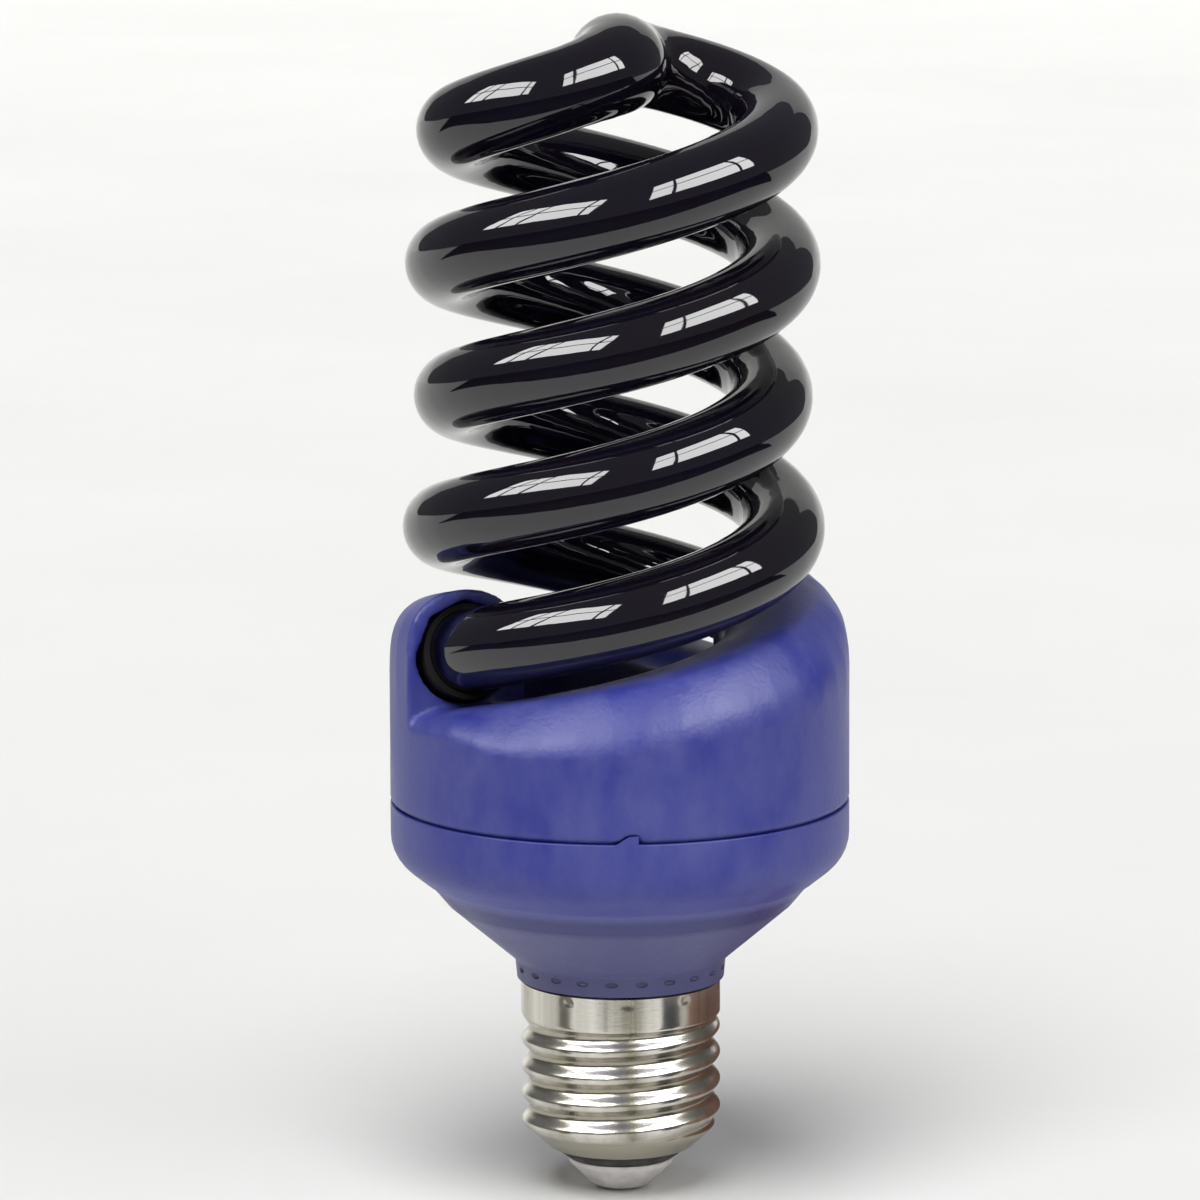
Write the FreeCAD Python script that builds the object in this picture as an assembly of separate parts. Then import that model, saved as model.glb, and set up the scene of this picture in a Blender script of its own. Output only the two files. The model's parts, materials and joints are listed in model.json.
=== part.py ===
"""A spiral black light lamp: a double helix of dark glass tube in a two-shell housing on a screw cap.

Millimetres. The axis is +Z and the tip of the centre contact is at the origin. The photograph looks along +Y.
Angles are in degrees about +Z, counted from +X, and a turn is 360 of them.
"""

import FreeCAD, Part
import math
import os

Vector = FreeCAD.Vector
UP = Vector(0, 0, 1)

# Spiral tube
tube_d = 10.75
coil_d = 42.9  # across the centreline, up to where the arms begin to close in
coil_closing = 1.8  # less than that where the arms end
coil_pitch = 34.5  # rise of one arm in a turn
coil_turns = 1.952  # of each arm, from its mouth to its top
taper_from_turns = 0.43
mouth_angle = 205.0  # where the first arm leaves the holder
mouth_z = 73.5  # height of the tube's centre there
bridge_rise = 7.9  # from an arm's end to the crossing
cold_spot_growth = 2.05  # of the tube's diameter at the crossing
cold_spot_length = 15.0
arm_shift = -1.3  # the second arm was bent this far off along X
arm_shift_turns = 0.25  # over which it leaves its place and comes back to it
arm_step_turns = 1 / 24
bridge_steps = 8
tail_length = 10.5  # of full tube behind the mouth
neck_length = 2.5  # where the glass draws in behind that
press_length = 3.5  # the flat pinch that seals the tube
press_width = 5.4
press_thickness = 2.2
cement_wall = 0.825
cement_length = 7.2
cement_set_back = 0.8  # of the cement behind the mouth
coil_top_d = coil_d - coil_closing
cold_spot_d = tube_d + cold_spot_growth
cement_d = tube_d + 2 * cement_wall

# Housing
housing_wall = 1.2
wall_draft = 0.03  # of the upper shell's wall, inwards for each millimetre up
seam_z = 52.2  # where the two shells meet
seam_gap = 0.35
seam_gap_depth = 0.75
mouth_gap = 1.525  # round the tube
mouth_lip = 0.4  # of end wall under the opening
cowl_spare_top = 0.1  # of a cowl's hollow over the opening
cowl_spare_side = 0.5  # and beside it
shoulder_fullness = 0.68  # of the outer rounding, where an ellipse has 0.55
shoulder_foot_z = 63.0  # the rounding on the outer side starts no lower than this
brow_low = 2.0  # height of the rounding on the inner side, at the low end of a ramp
floor_drop = 2.6  # of the middle of the top below the low end of a ramp
floor_ring = 2.75  # of floor between the ramps and the middle web
ramp_steps = 20
drum_top_z = 57.0  # the plain drum of the holder ends here
spigot_wall = 1.2
spigot_rise = 3.0  # above the seam, where the spigot has run into the wall
tab_width = 3.2
tab_height = 1.1
tab_slant = 2.0
cup_wall = 1.3
shoulder_z = 45.4  # where the drum of the base cup would meet its shoulder
shoulder_round = 5.5
lip_d = 51.6  # edge where the shoulder meets the hollow ring
lip_z = 42.0
hollow_top_d = 50.4  # of the ring, just under that lip
hollow_top_z = 41.75
hollow_d = 45.4  # lower edge of the hollow ring
hollow_z = 38.75
collar_top_z = 31.2
collar_d = 27.7
collar_foot_d = 27.2
neck_wall = 1.3
neck_foot_z = 12.5
neck_slot_height = 6.0
rib_count = 6
rib_angle = 30.0
rib_width = 1.4
rib_depth = 2.6
mouth_d = tube_d + 2 * mouth_gap
cowl_height = mouth_d / 2 + housing_wall + cowl_spare_top
cowl_width = mouth_d / 2 + housing_wall + cowl_spare_side
housing_d = coil_d + 2 * cowl_width

# Screw cap
cap_top_z = 28.5
thread_d = 26.2
thread_depth = 1.05
thread_pitch = 3.629
thread_first_z = 9.6
thread_last_z = 23.2
thread_phase_z = 14.68  # height of a crest over +X
thread_steps = 6  # sections in one pitch
band_z = 24.3  # the plain band starts here
nose_d = 17.6
nose_z = 5.15
shell_wall = 0.3
insulator_top_z = 8.4
insulator_bore = 2.6
contact_d = 14.0
contact_height = 4.2
contact_rim = 0.6  # of upright rim, above the cone
contact_tip_d = 7.2  # where the cone would meet the flat tip
contact_round = 2.0
contact_wall = 0.4
solder_d = 4.8
solder_edge = 0.2
solder_proud = 0.25
solder_stem_d = 1.6
solder_height = 1.15

# Fits
fit_gap = 0.1  # between pieces that slide into one another
bite = 0.5  # of one form into another of the same piece
past = 2.0  # of a cutting form beyond what it cuts

# Circuit board and what hangs under it
board_gap = 0.25  # around the board
board_thickness = 1.6
board_z = 47.5
lead_d = 0.6
capacitor_d = 10.0
capacitor_length = 17.5
capacitor_foot_z = 17.0
capacitor_groove = 0.4
capacitor_groove_drop = 2.5  # of the groove below the top of the can
capacitor_lead_pitch = 4.0
choke_length = 16.0
choke_width = 12.0
choke_height = 12.0
choke_x = -6.0
choke_y = -2.5
core_thickness = 5.0
core_side_limb = 3.4
core_middle_limb = 4.8
core_yoke = 2.4
core_drop = 1.0  # of the core below the board
bobbin_wall = 0.8
bobbin_foot = 2.0
winding_round = 1.2
toroid_d = 10.0
toroid_bore = 5.0
toroid_height = 4.0
toroid_x = 8.5
toroid_y = -16.0
toroid_windings = 3
winding_thickness = 0.5
winding_angle = 60.0
drum_core_d = 8.0
drum_core_waist_d = 3.6
drum_core_flange = 1.0
drum_core_height = 6.0
drum_core_x = -8.0
drum_core_y = 17.0
transistor_thickness = 2.7
transistor_width = 7.8
transistor_height = 10.8
transistor_x = 13.2
transistor_y = 4.3
transistor_leg_thickness = 0.6
transistor_leg_width = 0.9
transistor_leg_length = 1.0
transistor_leg_pitch = 2.3
transistor_hole_d = 3.0
transistor_hole_drop = 2.6
transistor_bevel = 0.6
resonant_length = 12.0
resonant_width = 5.0
resonant_height = 9.5
resonant_x = 4.0
resonant_y = 11.0
coupling_length = 10.0
coupling_width = 4.5
coupling_height = 8.0
coupling_y = 16.8
snubber_length = 7.0
snubber_width = 3.0
snubber_height = 6.0
snubber_x = -9.0
snubber_y = 10.2
film_round = 0.35  # of a film capacitor's thickness
film_bevel = 0.7
resistor_d = 2.4
resistor_length = 6.3
base_resistor_x = 18.6
base_resistor_1_y = 4.6
base_resistor_2_y = -5.2
start_resistor_x = 22.6
diac_d = 1.8
diac_length = 4.0
diac_x = 15.0
diac_y = 12.5
diode_d = 2.7
diode_length = 5.2
diode_x = -19.5
diode_pitch = 4.6
axial_lift = 0.3  # of a small part's body from the board
axial_bend = 1.2  # of its leads beyond the body
fuse_d = 3.2
fuse_length = 5.5
fuse_lift = 0.4  # of the fuse resistor above the cap's insulator
fuse_edge = 0.4
fuse_lead = 0.6
supply_lead_gap = 2.2  # of the supply leads from the capacitor's can
post_d = 0.8
post_height = 4.4
wrap_height = 1.5
wrap_z = 1.6  # of a wrap above the board
filament_pitch = 3.6  # of the two leads in a pinch
filament_run = 2.2  # of a lead before it turns down


choke_size = Vector(choke_length, choke_width, choke_height)
choke_place = Vector(choke_x, choke_y, 0)
toroid_place = Vector(toroid_x, toroid_y, 0)
drum_core_place = Vector(drum_core_x, drum_core_y, 0)
transistor_size = Vector(transistor_thickness, transistor_width, transistor_height)
transistor_leg = Vector(transistor_leg_thickness, transistor_leg_width, transistor_leg_length)
film_capacitors = {  # size and place
    "resonant_capacitor": (
        Vector(resonant_length, resonant_width, resonant_height),
        Vector(resonant_x, resonant_y, 0),
    ),
    "coupling_capacitor": (
        Vector(coupling_length, coupling_width, coupling_height),
        Vector(resonant_x, coupling_y, 0),
    ),
    "snubber_capacitor": (
        Vector(snubber_length, snubber_width, snubber_height),
        Vector(snubber_x, snubber_y, 0),
    ),
}
resistors = {
    "base_resistor_1": Vector(base_resistor_x, base_resistor_1_y, 0),
    "base_resistor_2": Vector(base_resistor_x, base_resistor_2_y, 0),
    "start_resistor": Vector(start_resistor_x, 0, 0),
}


def turn(angle):
    """A rotation about the lamp's axis."""
    return FreeCAD.Rotation(UP, angle)


def polar(radius, angle, z=0.0):
    """The point at this radius, angle and height."""
    return turn(angle).multVec(Vector(radius, 0, 0)) + Vector(0, 0, z)


def turned(shape, angle):
    """A copy of a shape, turned about the lamp's axis."""
    copy = shape.copy()
    copy.rotate(Vector(), UP, angle)
    return copy


def outline(corners):
    """A closed wire through corners (radius, height, rounding) in the plane of X and Z."""
    starts, ends, middles = [], [], []
    for i, (x, z, rounding) in enumerate(corners):
        here = Vector(x, 0, z)
        before = Vector(corners[i - 1][0], 0, corners[i - 1][1]) - here
        after = Vector(corners[(i + 1) % len(corners)][0], 0, corners[(i + 1) % len(corners)][1]) - here
        half = before.getAngle(after) / 2
        reach = rounding / math.tan(half)
        centre = here + (before.normalize() + after.normalize()).normalize() * (rounding / math.sin(half))
        starts.append(here + before * reach)
        ends.append(here + after * reach)
        middles.append(centre + (here - centre).normalize() * rounding if rounding else here)
    edges = []
    for i, (_, _, rounding) in enumerate(corners):
        if rounding:
            edges.append(Part.Arc(starts[i], middles[i], ends[i]).toShape())
        edges.append(Part.LineSegment(ends[i], starts[(i + 1) % len(corners)]).toShape())
    return Part.Wire(edges)


def revolved(corners):
    """A solid turned about the lamp's axis from its half outline."""
    return Part.Face(outline(corners)).revolve(Vector(), UP, 360)


def block(size, centre):
    """A box of this size about this centre."""
    return Part.makeBox(size.x, size.y, size.z, centre - size / 2)


def rod(diameter, start, end):
    """A straight round rod between two points."""
    return Part.makeCylinder(diameter / 2, (end - start).Length, start, end - start)


def mitred(points, diameter):
    """A tube of short straight spans through points, mitred where they meet."""
    circle = Part.Circle(points[0], points[1] - points[0], diameter / 2).toShape()
    right_corners = 1
    return Part.makePolygon(points).makePipeShell([Part.Wire([circle])], True, False, right_corners)


# Path of the tube
def arm_point(turns, shift=0.0):
    """A point on the first arm's centreline, counted in turns from its mouth."""
    closing = max(0.0, turns - taper_from_turns) / (coil_turns - taper_from_turns)
    radius = (coil_d + (coil_top_d - coil_d) * closing) / 2
    lean = shift * smooth(turns / arm_shift_turns) * smooth((coil_turns - turns) / arm_shift_turns)
    return polar(radius, mouth_angle + 360 * turns, mouth_z + coil_pitch * turns) + Vector(lean, 0, 0)


def smooth(share):
    """An even start and stop between 0 and 1."""
    share = min(1.0, max(0.0, share))
    return share * share * (3 - 2 * share)


def bridge_point(share):
    """A point on the half loop that carries the first arm on to the axis."""
    top_angle = mouth_angle + 360 * coil_turns
    centre = polar(coil_top_d / 4, top_angle)
    start_slope = coil_pitch / 4
    rise = start_slope * share * (1 - share) ** 2 + bridge_rise * smooth(share)
    top_z = mouth_z + coil_pitch * coil_turns
    return centre + polar(coil_top_d / 4, top_angle + 180 * share, top_z + rise)


def turns_of(length):
    """The turns of an arm that a length of it covers."""
    return length / math.hypot(math.pi * coil_d, coil_pitch)


def arm_points(shift=0.0):
    """Points up one arm, from the end of its tail to just under its top."""
    tail = turns_of(tail_length)
    steps = round((coil_turns + tail) / arm_step_turns)
    return [arm_point(-tail + (coil_turns + tail) * i / steps, shift) for i in range(steps)]


def tube_end():
    """The neck and the flat pinch that close the first arm's tail."""
    end = arm_point(-turns_of(tail_length))
    along = (arm_points()[1] - end).normalize()
    side = along.cross(UP).normalize()
    neck = Part.makeCone(tube_d / 2, press_width * 0.55, neck_length, end, -along)
    slab = block(Vector(press_width, press_thickness, press_length + bite), Vector())
    centre = end - along * (neck_length + (press_length - bite) / 2)
    slab.Placement = FreeCAD.Placement(centre, FreeCAD.Rotation(side, along.cross(side), along, "ZXY"))
    return neck.fuse(slab)


def cold_spot():
    """The smooth swelling of the glass at the crossing, turned about the tube's own axis there."""
    crossing = bridge_point(1.0)
    along = (crossing - bridge_point(1 - 1 / bridge_steps / 100)).normalize()
    ends = [crossing + along * (side * cold_spot_length / 2) for side in (-1, 1)]
    rim = UP * (tube_d / 2 - fit_gap)
    arc = Part.Arc(ends[0] + rim, crossing + UP * (cold_spot_d / 2), ends[1] + rim).toShape()
    sides = [
        Part.LineSegment(ends[1] + rim, ends[1]).toShape(),
        Part.LineSegment(ends[1], ends[0]).toShape(),
        Part.LineSegment(ends[0], ends[0] + rim).toShape(),
    ]
    return Part.Face(Part.Wire([arc] + sides)).revolve(crossing, along, 360)


def spiral_tube():
    """The whole sealed tube: two arms, the bridge over the top with its cold spot, and two closed tails."""
    bridge = [bridge_point(i / bridge_steps) for i in range(bridge_steps)]
    first = arm_points() + bridge
    flip = turn(180)
    second = [flip.multVec(point) for point in arm_points(-arm_shift) + bridge]
    glass = mitred(first + [bridge_point(1.0)] + second[::-1], tube_d)
    return glass.multiFuse([cold_spot(), tube_end(), turned(tube_end(), 180)])


def tube_cement():
    """A collar of cement round each tail, between the glass and the holder."""
    foot, knee, head, beyond = arm_points()[:4]
    low = (tail_length - cement_set_back - cement_length) / (knee - foot).Length
    high = cement_set_back / (head - knee).Length
    stretch = [foot + (knee - foot) * low, knee, head - (head - knee) * high]
    collar = mitred(stretch, cement_d).cut(mitred([foot, knee, head, beyond], tube_d + 2 * fit_gap))
    return Part.makeCompound([collar, turned(collar, 180)])


# Upper shell
ramp_low_z = mouth_z - mouth_d / 2 - mouth_lip
ramp_high_z = mouth_z + cowl_height
floor_z = ramp_low_z - floor_drop
floor_edge = coil_d / 2 - cowl_height
floor_web_d = 2 * (floor_edge - floor_ring)
web_lap = 0.6  # of the ramps' floors over the edge of the middle web


ellipse_fullness = 0.5523  # of the way to the corner, for a cubic that follows an ellipse


def quarter(fullness, start, corner, end):
    """A quarter turn round a corner, as full as an ellipse or fuller."""
    curve = Part.BezierCurve()
    curve.setPoles([start, start + (corner - start) * fullness, end + (corner - end) * fullness, end])
    return curve.toShape()


def halfway(start, corner, end):
    """The middle of the same quarter of an ellipse, on the plane of radius and height."""
    pull = math.sqrt(0.5)
    return tuple(c + (1 - pull) * (a + b - 2 * c) for a, c, b in zip(start, corner, end))


def roof_corners(share, inset):
    """Corners of the roof's outline at a share of the way up a ramp, moved inwards by the inset."""
    top = ramp_low_z + (ramp_high_z - ramp_low_z) * share
    foot = max(shoulder_foot_z, top - cowl_height)
    ledge = top - brow_low - (cowl_height - brow_low) * share
    wall = housing_d / 2 - wall_draft * (foot - drum_top_z) - inset
    return {
        "foot": (wall, foot),
        "shoulder": (wall, top - inset),
        "crown": (coil_d / 2, top - inset),
        "brow": (floor_edge + inset, top - inset),
        "ledge": (floor_edge + inset, ledge),
        "floor": (floor_edge + inset, floor_z - inset),
    }


def holder_section(share):
    """The holder's wall on an upright plane through the axis."""
    angle = mouth_angle + 180 * share
    outer = roof_corners(share, 0)
    inner = roof_corners(share, housing_wall)
    at = lambda corner: polar(corner[0], angle, corner[1])
    web = floor_web_d / 2 - web_lap
    drum = housing_d / 2
    path = [
        ("line", (drum, drum_top_z), outer["foot"]),
        ("shoulder", outer["foot"], outer["shoulder"], outer["crown"]),
        ("brow", outer["crown"], outer["brow"], outer["ledge"]),
        ("line", outer["ledge"], outer["floor"]),
        ("line", outer["floor"], (web, floor_z)),
        ("line", (web, floor_z), (web, floor_z - housing_wall)),
        ("line", (web, floor_z - housing_wall), inner["floor"]),
        ("line", inner["floor"], inner["ledge"]),
        ("line", inner["ledge"], halfway(inner["ledge"], inner["brow"], inner["crown"])),
        ("line", halfway(inner["ledge"], inner["brow"], inner["crown"]), inner["crown"]),
        ("line", inner["crown"], halfway(inner["crown"], inner["shoulder"], inner["foot"])),
        ("line", halfway(inner["crown"], inner["shoulder"], inner["foot"]), inner["foot"]),
        ("line", inner["foot"], (drum - housing_wall, drum_top_z)),
        ("line", (drum - housing_wall, drum_top_z), (drum, drum_top_z)),
    ]
    return Part.Wire([roof_edge(kind, *[at(corner) for corner in corners]) for kind, *corners in path])


def roof_edge(kind, *points):
    """One edge of a section: a line, or the rounding of a shoulder or a brow."""
    if kind == "line":
        return Part.LineSegment(*points).toShape()
    return quarter(shoulder_fullness if kind == "shoulder" else ellipse_fullness, *points)


def end_wall():
    """The upright wall from a ramp's low end up to the other ramp's high end, with the mouth for the tube."""
    inset = housing_wall / 2
    high = roof_corners(1.0, inset)
    low = roof_corners(0.0, inset)
    at = lambda corner: polar(corner[0], mouth_angle + 180, corner[1])
    path = [
        ("line", low["foot"], high["foot"]),
        ("shoulder", high["foot"], high["shoulder"], high["crown"]),
        ("brow", high["crown"], high["brow"], high["ledge"]),
        ("line", high["ledge"], low["ledge"]),
        ("brow", low["ledge"], low["brow"], low["crown"]),
        ("shoulder", low["crown"], low["shoulder"], low["foot"]),
    ]
    edges = [roof_edge(kind, *[at(corner) for corner in corners]) for kind, *corners in path]
    back = turn(mouth_angle + 180).multVec(Vector(0, -1, 0))
    plate = Part.Face(Part.Wire(edges)).extrude(back * housing_wall)
    centre = polar(coil_d / 2, mouth_angle + 180, mouth_z)
    hole = rod(mouth_d, centre + back * 2 * housing_wall, centre - back)
    return plate.cut(hole)


def tab(gap):
    """The slanted key on the seam at the front, grown by the gap."""
    foot = seam_z - past / 2
    corners = [
        (-tab_width / 4 - gap, foot),
        (-tab_width / 4 - gap, seam_z),
        (-tab_width / 4 - gap + tab_slant, seam_z + tab_height + gap),
        (tab_width * 3 / 4 + gap, seam_z + tab_height + gap),
        (tab_width * 3 / 4 + gap, foot),
    ]
    face = Part.Face(Part.makePolygon([Vector(x, 0, z) for x, z in corners + corners[:1]]))
    return face.extrude(Vector(0, -housing_d, 0))


def tab_ring(inner, outer):
    """The wall that the key belongs to, between two radii."""
    low = seam_z - past
    high = seam_z + tab_height + past
    return revolved([(inner, low, 0), (outer, low, 0), (outer, high, 0), (inner, high, 0)])


def tube_holder():
    """The upper shell: drum, spigot, two ramps that climb half a turn each, cowls and mouths."""
    outer = housing_d / 2
    inner = outer - housing_wall
    spigot = outer - cup_wall - fit_gap
    spigot_foot_z = board_z + board_thickness + 2 * fit_gap
    rebate = outer - seam_gap_depth
    drum = revolved(
        [
            (spigot - spigot_wall, spigot_foot_z, 0),
            (spigot, spigot_foot_z, 0),
            (spigot, seam_z, 0),
            (rebate, seam_z, 0),
            (rebate, seam_z + seam_gap, 0),
            (outer, seam_z + seam_gap, 0),
            (outer, drum_top_z, 0),
            (inner, drum_top_z, 0),
            (inner, seam_z + spigot_rise, 0),
            (spigot - spigot_wall, seam_z + spigot_rise / 2, 0),
        ]
    )
    half = Part.makeLoft([holder_section(i / ramp_steps) for i in range(ramp_steps + 1)], True, True)
    wall = end_wall()
    web = rod(floor_web_d, Vector(0, 0, floor_z - housing_wall + fit_gap), Vector(0, 0, floor_z - fit_gap))
    body = drum.multiFuse([half, turned(half, 180), wall, turned(wall, 180), web])
    return body.cut(tab(fit_gap).common(tab_ring(outer - cup_wall, outer + past)))


# Lower shell
def inner_corners(corners, wall):
    """The corners of an outline's inner side, at the wall's thickness from it, for all but its two ends."""
    found = []
    for before, here, after in zip(corners, corners[1:], corners[2:]):
        here = Vector(*here)
        back = (Vector(*before) - here).normalize()
        on = (Vector(*after) - here).normalize()
        half = back.getAngle(on) / 2
        inward = (Vector(-on.y, on.x) - Vector(-back.y, back.x)).normalize()
        found.append(here + inward * (wall / math.sin(half)))
    return [(corner.x, corner.y) for corner in found]


def slope(low, high):
    """Rise over run between two corners."""
    return (high[1] - low[1]) / (high[0] - low[0])


def shoulder_middle_z(radius):
    """Height of the middle of the shoulder's wall at a radius."""
    rise = slope((lip_d / 2, lip_z), (housing_d / 2, shoulder_z))
    return lip_z + (radius - lip_d / 2) * rise + cup_wall / 2 * math.hypot(1, rise)


def cup_rib():
    """One of the brackets on the wall that the board rests on."""
    root = housing_d / 2 - cup_wall + bite
    tip = housing_d / 2 - cup_wall - rib_depth
    corners = [
        (root, board_z),
        (tip, board_z),
        (tip, shoulder_middle_z(tip)),
        (root, shoulder_middle_z(root)),
    ]
    face = Part.Face(Part.makePolygon([Vector(x, -rib_width / 2, z) for x, z in corners + corners[:1]]))
    return face.extrude(Vector(0, rib_width, 0))


def base_cup():
    """The lower shell: drum, shoulder, hollow ring, funnel, collar and the neck inside the cap."""
    outer = housing_d / 2
    neck = thread_d / 2 - thread_depth - shell_wall - fit_gap
    bore = neck - neck_wall
    collar = (collar_d / 2, collar_top_z)
    hollow = (hollow_d / 2, hollow_z)
    lip = (lip_d / 2, lip_z)
    shoulder = (outer, shoulder_z)
    inner_side = inner_corners([collar, hollow, lip, shoulder, (outer, seam_z)], cup_wall)
    funnel = slope(collar, hollow)
    funnel_foot_z = inner_side[0][1] - (inner_side[0][0] - bore) * funnel
    outline_corners = [
        (bore, neck_foot_z, 0),
        (neck, neck_foot_z, 0),
        (neck, cap_top_z, 0),
        (collar_foot_d / 2, cap_top_z, 0),
        (*collar, 0),
        (*hollow, 0),
        (hollow_top_d / 2, hollow_top_z, 0),
        (*lip, 0),
        (*shoulder, shoulder_round),
        (outer, seam_z, 0),
        (outer - cup_wall, seam_z, 0),
    ]
    outline_corners += [(x, z, 0) for x, z in reversed(inner_side)]
    shell = revolved(outline_corners + [(bore, funnel_foot_z, 0)])
    ribs = [turned(cup_rib(), 360 * i / rib_count + rib_angle) for i in range(rib_count)]
    key = tab(0).common(tab_ring(outer - cup_wall + fit_gap, outer))
    slot_size = Vector(2 * neck_wall, 2 * lead_d, neck_slot_height)
    slot = block(slot_size, Vector(neck_wall / 2 - neck, 0, neck_foot_z + past))
    return shell.multiFuse(ribs + [key]).cut(slot)


# Screw cap
nose_growth = (thread_d - thread_depth - nose_d) / 2 / (thread_first_z - nose_z)  # in radius, for each mm up
nose_wall = shell_wall * math.hypot(1, nose_growth)  # measured across the axis


def screw_shell():
    """The rolled metal shell, its round thread made of rings that wander round the axis."""
    swing = thread_depth / 2
    mean = thread_d / 2 - swing
    step = thread_pitch / thread_steps
    rings = [(nose_z, nose_d / 2, 0.0)]
    for i in range(round((thread_last_z - thread_first_z) / step) + 1):
        z = thread_first_z + i * step
        growing = smooth(0.4 + 2 * (z - thread_first_z) / thread_pitch)
        ending = smooth(0.5 + (thread_last_z - z) / step / 2)
        rings.append((z, mean, swing * growing * ending))
    rings.append((band_z, thread_d / 2, 0.0))
    wires = []
    for z, radius, offset in rings:
        centre = polar(offset, 360 * (z - thread_phase_z) / thread_pitch, z)
        wires.append(Part.Wire([Part.Circle(centre, UP, radius).toShape()]))
    body = Part.makeLoft(wires, True, True)
    band = rod(thread_d, Vector(0, 0, band_z), Vector(0, 0, cap_top_z))
    bore = thread_d / 2 - thread_depth - shell_wall
    nose_bore = nose_d / 2 - nose_wall
    low = nose_z - past
    hollow = revolved(
        [
            (0, low, 0),
            (nose_bore - past * nose_growth, low, 0),
            (bore, nose_z + (bore - nose_bore) / nose_growth, 0),
            (bore, cap_top_z + past, 0),
            (0, cap_top_z + past, 0),
        ]
    )
    return body.fuse(band).cut(hollow)


def cap_insulator():
    """The glass ring that closes the nose and carries the contact."""
    rim = nose_d / 2 - nose_wall - fit_gap
    return revolved(
        [
            (insulator_bore / 2, contact_height, 0),
            (contact_d / 2, contact_height, 0),
            (rim, nose_z, 0),
            (rim + (insulator_top_z - nose_z) * nose_growth, insulator_top_z, 0),
            (insulator_bore / 2, insulator_top_z, 0),
        ]
    )


def centre_contact():
    """The domed contact, with a hole for the solder."""
    rim = (contact_d / 2, contact_height)
    edge = (contact_d / 2, contact_height - contact_rim)
    tip = (contact_tip_d / 2, solder_proud)
    hole = solder_stem_d / 2 + fit_gap / 2
    inner_side = inner_corners([(hole, solder_proud), tip, edge, rim], contact_wall)
    corners = [(hole, solder_proud, 0), (*tip, contact_round), (*edge, contact_round / 2), (*rim, 0)]
    corners.append((rim[0] - contact_wall, rim[1], 0))
    corners += [(x, z, 0) for x, z in reversed(inner_side)]
    return revolved(corners + [(hole, solder_proud + contact_wall, 0)])


def contact_solder():
    """The solder button at the tip, its stem through the contact round the end of the lead."""
    stem = solder_stem_d / 2
    return revolved(
        [
            (0, 0, 0),
            (solder_d / 2, 0, solder_edge),
            (solder_d / 2, solder_proud, 0),
            (stem, solder_proud, 0),
            (stem, solder_height, 0),
            (0, solder_height, 0),
        ]
    )


# Ballast
def circuit_board():
    """The round board, seated on the ribs of the lower shell."""
    radius = housing_d / 2 - cup_wall - board_gap
    return rod(2 * radius, Vector(0, 0, board_z), Vector(0, 0, board_z + board_thickness))


def reservoir_capacitor():
    """The electrolytic can that stands in the neck on its two long leads."""
    radius = capacitor_d / 2
    waist = radius - capacitor_groove
    top = capacitor_foot_z + capacitor_length
    groove_z = top - capacitor_groove_drop
    can = revolved(
        [
            (0, capacitor_foot_z, 0),
            (waist, capacitor_foot_z, 0),
            (radius, capacitor_foot_z + capacitor_groove, 0),
            (radius, groove_z - capacitor_groove, 0),
            (waist, groove_z, 0),
            (radius, groove_z + capacitor_groove, 0),
            (radius, top - capacitor_groove, 0),
            (waist, top, 0),
            (0, top, 0),
        ]
    )
    y = choke_place.y + choke_size.y / 2 + lead_d
    leads = []
    for side in (-1, 1):
        x = side * capacitor_lead_pitch / 2
        leads.append(rod(lead_d, Vector(x, y, top - bite), Vector(x, y, board_z)))
    return can.multiFuse(leads)


# The choke's core, its windows and the bobbin that fills them
core_height = choke_size.z - core_drop
core_z = board_z - core_drop - core_height / 2
window_x = choke_size.x / 2 - core_middle_limb / 2 - core_side_limb
window_z = core_height - 2 * core_yoke
flange_x = core_middle_limb + 2 * window_x - 2 * fit_gap
choke_centre = choke_place + Vector(0, 0, core_z)


def choke_core():
    """The two-window ferrite core."""
    body = block(Vector(choke_size.x, core_thickness, core_height), choke_centre)
    window = Vector(window_x, core_thickness + past, window_z)
    shift = Vector((core_middle_limb + window_x) / 2, 0, 0)
    return body.cut(block(window, choke_centre - shift)).cut(block(window, choke_centre + shift))


def choke_bobbin():
    """The bobbin on the middle limb, with the feet that stand on the board."""
    height = window_z - 2 * fit_gap
    sleeve = Vector(core_middle_limb + 2 * bobbin_wall, core_thickness + 2 * bobbin_wall, height)
    pieces_of_it = [block(sleeve, choke_centre)]
    flange = Vector(flange_x, choke_size.y, bobbin_wall)
    rise = Vector(0, 0, (height - bobbin_wall) / 2)
    pieces_of_it += [block(flange, choke_centre - rise), block(flange, choke_centre + rise)]
    foot_low = core_z + rise.z
    for side in (-1, 1):
        place = choke_place + Vector(0, side * (choke_size.y - bobbin_foot) / 2, (board_z + foot_low) / 2)
        pieces_of_it.append(block(Vector(flange_x, bobbin_foot, board_z - foot_low), place))
    hole = Vector(core_middle_limb + 2 * fit_gap, core_thickness + 2 * fit_gap, window_z + past)
    return pieces_of_it[0].multiFuse(pieces_of_it[1:]).cut(block(hole, choke_centre))


def choke_winding():
    """The winding between the bobbin's flanges."""
    height = window_z - 4 * fit_gap - 2 * bobbin_wall
    wound = block(Vector(flange_x - 4 * fit_gap, choke_size.y - bobbin_wall, height), choke_centre)
    wound = wound.makeFillet(winding_round, upright_edges(wound))
    across = 2 * (bobbin_wall + fit_gap)
    inside = Vector(core_middle_limb + across, core_thickness + across, height + past)
    return wound.cut(block(inside, choke_centre))


def upright_edges(shape):
    """The edges of a shape that stand up."""
    return [edge for edge in shape.Edges if abs(edge.tangentAt(0).z) > 0.9]


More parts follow.
